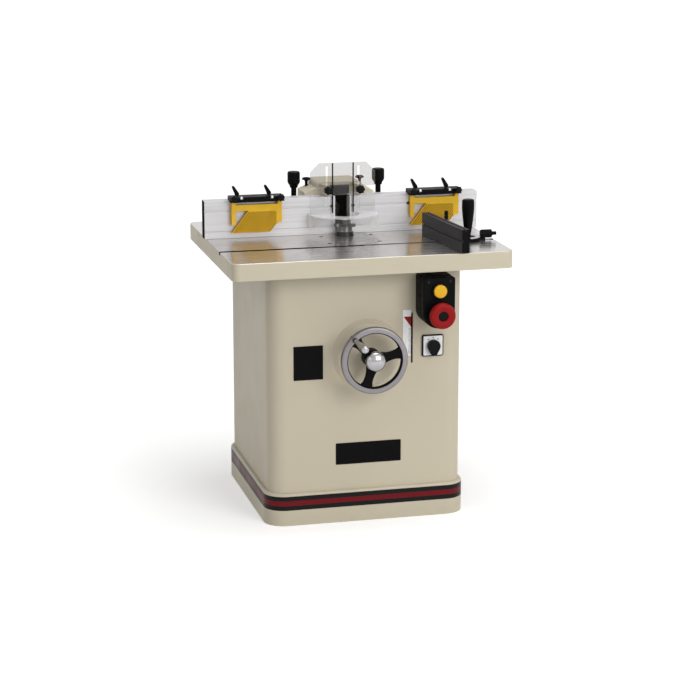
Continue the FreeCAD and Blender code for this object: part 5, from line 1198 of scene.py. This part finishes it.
# %% Protractor and grip
MITRE_TURN, HEAD_TALL = 6, 0.0123
DIAL_INNER, DIAL_OUTER, DIAL_THICK, DIAL_BEVEL, DIAL_HALF = 0.025, 0.0412, 0.0012, 0.0003, 100
DEGREE_START, DEGREE_END, DEGREE_HALF, DEGREE_PROUD = 0.0358, 0.0408, 0.0003, 0.0002
MITRE_GRIP = [(0, 0), (0.010, 0), (0.010, 0.012), (0.0125, 0.022), (0.0140, 0.034), (0.0165, 0.054),
              (0.0196, 0.082), (0.0205, 0.098)]
MITRE_GRIP_TOP = [(0.0198, 0.004), (0.0160, 0.0), (0, 0.0)]
MITRE_GRIP_EASE = 0.010
pivot = at(grip_middle.x, grip_middle.y, 0) @ turned_by(MITRE_TURN)
dial_z = table_top + HEAD_TALL
dial_line = (arc((0, 0), DIAL_OUTER, -DIAL_HALF, DIAL_HALF, 40)
             + arc((0, 0), DIAL_INNER, DIAL_HALF, -DIAL_HALF, 40))
dial = slab("dial", dial_line, DIAL_THICK, pivot @ at(0, 0, dial_z), aluminium, DIAL_BEVEL, 1)
dress(dial, "mitre_head", hides=False)
degree_line = bar_line(DEGREE_START, DEGREE_END, DEGREE_HALF)
degrees = []
for turn in range(-90, 91, 10):
    degree_place = pivot @ at(0, 0, dial_z + DIAL_THICK, turned_by(turn))
    degrees.append(slab("degree", degree_line, DEGREE_PROUD, degree_place, black_gloss))
dress(joined("dial_ticks", degrees), "mitre_head", hides=False)
mitre_grip_line = eased([*MITRE_GRIP, *below(grip_high.z - grip_low.z, MITRE_GRIP_TOP)], MITRE_GRIP_EASE, 6)
mitre_grip_place = at(grip_middle.x, grip_middle.y, grip_low.z)
dress(lathe("grip_turned", mitre_grip_line, mitre_grip_place, black_plastic, 64), "mitre_grip")
print("dial ticks:", len(degrees))

# %% [markdown]
# ## Spindle
# The arbor stands in the middle: a black base collar, a steel spacer, the cutter and its nut. Each wing of
# the cutter carries a bright tip of hard metal on its leading face. The fit of these pieces is settled in the
# CAD model, so they are softened copies, and only the tips are new.

# %% Spindle, cutter and nut
for node, edge, finish in (("base_collar", 0.0010, dark_steel), ("spacer_collar", 0.0006, collar_steel),
                           ("cutter_head", 0.0006, dark_steel), ("spindle_nut", 0.0008, dark_steel)):
    dress(softened(node, edge, finish), node)
WING_HALF, WING_TURNS = 0.0075, (200, 320, 80)
TIP_NEAR, TIP_FAR, TIP_SUNK, TIP_PROUD = 0.027, 0.0368, 0.0012, 0.0004
TIP_TALL, TIP_LIFT, TIP_BEVEL = 0.0094, 0.0003, 0.0002
tip_back, tip_face = WING_HALF - TIP_SUNK, WING_HALF + TIP_PROUD
tip_line = [(TIP_NEAR, tip_back), (TIP_FAR, tip_back), (TIP_FAR, tip_face), (TIP_NEAR, tip_face)]
tip_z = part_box("cutter_head")[0].z + TIP_LIFT
tips = [slab("tip", tip_line, TIP_TALL, at(0, 0, tip_z, turned_by(turn)), steel, TIP_BEVEL, 1)
        for turn in WING_TURNS]
dress(joined("cutter_tips", tips), "cutter_head", hides=False)
print("cutter tips:", len(tips))

# %% [markdown]
# ## Lift and motor
# Behind the door, a lead screw lifts the carriage with the spindle and the motor. The thread is one turned
# profile that rises and falls once for each 5 mm of pitch. A helix would be truer, but rings look the same
# at this size and are simpler to close. The bevel gears are cones whose lobes are the teeth, and the motor
# gets a ring of cooling fins.

# %% Lead screw and bevel gears
screw_low, screw_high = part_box("lead_screw")
screw_middle = middle_of("lead_screw")
screw_long = screw_high.z - screw_low.z
THREAD_PITCH, THREAD_MARGIN, CREST, ROOT = 0.005, 0.020, 0.0100, 0.0084
THREAD_TURN = [(CREST, 0.0012), (ROOT, 0.0022), (ROOT, 0.0038), (CREST, 0.0048)]
GEAR_LARGE, GEAR_SMALL, GEAR_DEEP, GEAR_DROP = 0.0257, 0.0137, 0.012, 0.026
GEAR_STEPS, TEETH, TOOTH_DEPTH = 192, 24, 0.13
thread = [(0, 0), (CREST, 0), (CREST, THREAD_MARGIN)]
height = THREAD_MARGIN
while height + THREAD_PITCH < screw_long - THREAD_MARGIN:
    thread += [(radius, height + up) for radius, up in THREAD_TURN]
    height += THREAD_PITCH
thread += [(CREST, screw_long), (0, screw_long)]


def bevel_gear(name, near, far, place):
    line = [(0, 0), (near, 0), (far, GEAR_DEEP), (0, GEAR_DEEP)]
    return lathe(name, line, place, iron_casting, GEAR_STEPS, TEETH, TOOTH_DEPTH)


gear_place = at(screw_middle.x, screw_middle.y, wheel_z - GEAR_DROP)
pieces = [lathe("thread", thread, at(screw_middle.x, screw_middle.y, screw_low.z), steel, 28),
          bevel_gear("gear", GEAR_LARGE, GEAR_SMALL, gear_place)]
dress(joined("lead_screw_cut", pieces), "lead_screw")

shaft_low, shaft_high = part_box("handwheel_shaft")
SHAFT_EASE = 0.001
shaft_place = at(0, shaft_high.y, wheel_z, FRONT)
shaft_line = eased(rod_line(SHAFT_RADIUS, 0, shaft_high.y - shaft_low.y), SHAFT_EASE)
pieces = [lathe("shaft", shaft_line, shaft_place, steel, 40),
          bevel_gear("pinion", GEAR_SMALL, GEAR_LARGE, shaft_place)]
dress(joined("handwheel_shaft_cut", pieces), "handwheel_shaft")
print("thread profile points:", len(thread))

# %% Motor fins
MOTOR_Y, MOTOR_LOW, MOTOR_HIGH, MOTOR_RADIUS = 0.190, 0.350, 0.570, 0.092
FIN, FIN_BEVEL = [(-0.003, -0.0011), (0.0052, -0.0008), (0.0052, 0.0008), (-0.003, 0.0011)], 0.0004
fin = slab("fin", FIN, MOTOR_HIGH - MOTOR_LOW, UP, motor_paint, FIN_BEVEL, 1)
fins = repeated("motor_fins", RING, fin, at(0, MOTOR_Y, MOTOR_LOW), Count=40, Radius=MOTOR_RADIUS)
dress(fins, "motor", hides=False)

# %% [markdown]
# ## Back of the cabinet
# A hinged door at the back gives access to the motor and the belt. Rows of pressed louvres let the warm air
# out, and the supply enters by a gland with a ribbed cap. A louvre could be a bump in the paint, but it
# stands so far out that it needs a shape of its own, drawn out from a slim wedge.

# %% Rear door and latch
door_low, door_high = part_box("rear_door")
DOOR_BEVEL, LATCH_PROUD = 0.0012, 0.0163
LOUVRE_HALF, LOUVRE_TALL, LOUVRE_PROUD, LOUVRE_SUNK, LOUVRE_LIP = 0.075, 0.007, 0.005, 0.0005, 0.0008
LOUVRE_BEVEL, LOUVRE_STEP, LOUVRE_COUNT = 0.0006, 0.014, 6
UPPER_DROP, LOWER_RISE = 0.140, 0.070
LOUVRE_X = {"left": -0.095, "right": 0.085}
LOUVRE_Z = {"upper": door_high.z - UPPER_DROP, "lower": door_low.z + LOWER_RISE}
# The outline's first axis points down here, and the louvre is drawn out to the right.
SIDEWAYS = Matrix(((0, 0, 1, 0), (0, 1, 0, 0), (-1, 0, 0, 0), (0, 0, 0, 1)))
door_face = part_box("door_latch")[1].y - LATCH_PROUD
louvre_line = [(0, -LOUVRE_SUNK), (LOUVRE_LIP, LOUVRE_PROUD), (LOUVRE_TALL, -LOUVRE_SUNK)]
louvre_place = at(-LOUVRE_HALF, 0, 0, SIDEWAYS)
dress(softened("rear_door", DOOR_BEVEL, cream_paint), "rear_door")
for row_name, row_z in LOUVRE_Z.items():
    for side_name, row_x in LOUVRE_X.items():
        louvre = slab("louvre", louvre_line, 2 * LOUVRE_HALF, louvre_place, cream_paint, LOUVRE_BEVEL, 1)
        row = repeated("louvres_{}_{}".format(row_name, side_name), ROW, louvre, Count=LOUVRE_COUNT,
                       Step=(0, 0, LOUVRE_STEP), Start=(row_x, door_face, row_z))
        dress(row, "rear_door", hides=False)
dress(softened("door_latch", DOOR_BEVEL, black_plastic), "door_latch")

# %% Gland
gland_low, gland_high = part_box("cable_gland")
gland_middle = middle_of("cable_gland")
gland_long = gland_high.y - gland_low.y
GLAND_BORE, NUT_RADIUS, NUT_DEEP = 0.006, 0.0148, 0.009
GLAND_CAP, GLAND_MOUTH, GLAND_TAPER = 0.012, 0.009, 0.003
GLAND_RIBS, GLAND_RIB_DEPTH = 16, 0.08
gland_place = at(gland_middle.x, gland_low.y, gland_middle.z, BACK)
cap_line = [(GLAND_BORE, NUT_DEEP), (GLAND_CAP, NUT_DEEP), (GLAND_CAP, gland_long - GLAND_TAPER),
            (GLAND_MOUTH, gland_long), (GLAND_BORE, gland_long), (GLAND_BORE, NUT_DEEP)]
pieces = [lathe("gland_nut", ring_line(GLAND_BORE, NUT_RADIUS, 0, NUT_DEEP), gland_place, black_plastic, 6),
          lathe("gland_cap", cap_line, gland_place, black_plastic, 96, GLAND_RIBS, GLAND_RIB_DEPTH)]
dress(joined("gland_moulded", pieces), "cable_gland")
print("gland length", round(gland_long, 3))

# %% [markdown]
# ## Floor and light
# A pale floor and large soft lamps, as in a studio. The floor glows a little more with distance, so that it
# reads as a white background while the shadow at the foot of the machine stays. The lamps keep a plain level,
# so each colour renders about as it is written.

# %% Floor
FLOOR_HALF, FLOOR_GREY = 60.0, (0.80, 0.80, 0.80)
GLOW_NEAR, GLOW_FAR, GLOW_START, GLOW_END = 0.42, 0.72, 0.5, 2.4
WHITE = (1, 1, 1, 1)
SEEN_BY = ("Is Camera Ray", "Is Glossy Ray", "Is Transmission Ray")


def studio_floor():
    bm = bmesh.new()
    bmesh.ops.create_grid(bm, x_segments=1, y_segments=1, size=FLOOR_HALF)
    floor = as_piece("floor", closed_mesh("floor", bm))
    finish = Finish("pale_floor", rough=0.9, shine=0.2)
    finish.set("Base Color", finish.mottled(FLOOR_GREY, amount=0.01, scale=0.5))
    path = finish.add("ShaderNodeLightPath")
    camera_ray, glossy_ray, clear_ray = [path.outputs[ray] for ray in SEEN_BY]
    seen = finish.math("MAXIMUM", camera_ray, finish.math("MAXIMUM", glossy_ray, clear_ray))
    away = finish.vector("LENGTH", finish.coords, output="Value")
    glow = finish.add("ShaderNodeMapRange", {"Value": away, "From Min": GLOW_START, "From Max": GLOW_END,
                                             "To Min": GLOW_NEAR, "To Max": GLOW_FAR}).outputs[0]
    finish.set("Emission Color", WHITE)
    finish.set("Emission Strength", finish.math("MULTIPLY", seen, glow))
    coat(floor, finish)


studio_floor()
print("floor half width", FLOOR_HALF)

# %% World
SKY_LIGHT, SKY_SEEN = 0.38, 1.0


def studio_world():
    world = bpy.data.worlds.new("studio")
    bpy.context.scene.world = world
    world.use_nodes = True
    nodes, link = world.node_tree.nodes, world.node_tree.links.new
    path, level = nodes.new("ShaderNodeLightPath"), nodes.new("ShaderNodeMapRange")
    either, seen = nodes.new("ShaderNodeMath"), nodes.new("ShaderNodeMath")
    either.operation = seen.operation = "MAXIMUM"
    camera_ray, glossy_ray, clear_ray = [path.outputs[ray] for ray in SEEN_BY]
    link(glossy_ray, either.inputs[0])
    link(clear_ray, either.inputs[1])
    link(camera_ray, seen.inputs[0])
    link(either.outputs[0], seen.inputs[1])
    link(seen.outputs[0], level.inputs["Value"])
    level.inputs["To Min"].default_value = SKY_LIGHT
    level.inputs["To Max"].default_value = SKY_SEEN
    sky = nodes["Background"]
    sky.inputs["Color"].default_value = WHITE
    link(level.outputs[0], sky.inputs["Strength"])


studio_world()
print("sky light", SKY_LIGHT)

# %% Lamps
CABINET_AIM, TABLE_AIM = (0, 0, 0.6), (0, 0, 0.9)


def lamp(name, place, target, size, power):
    light = bpy.data.lights.new(name, "AREA")
    light.energy = power
    light.size = size
    holder = bpy.data.objects.new(name, light)
    holder.location = place
    holder.rotation_euler = (Vector(target) - Vector(place)).to_track_quat("-Z", "Y").to_euler()
    bpy.context.scene.collection.objects.link(holder)


lamp("key", (1.8, -4.2, 2.3), CABINET_AIM, size=2.6, power=97)
lamp("fill", (-3.4, -3.0, 2.4), CABINET_AIM, size=2.4, power=13)
lamp("top", (0.4, -0.4, 4.2), TABLE_AIM, size=2.6, power=62)
print("lamps:", len(bpy.data.lights))
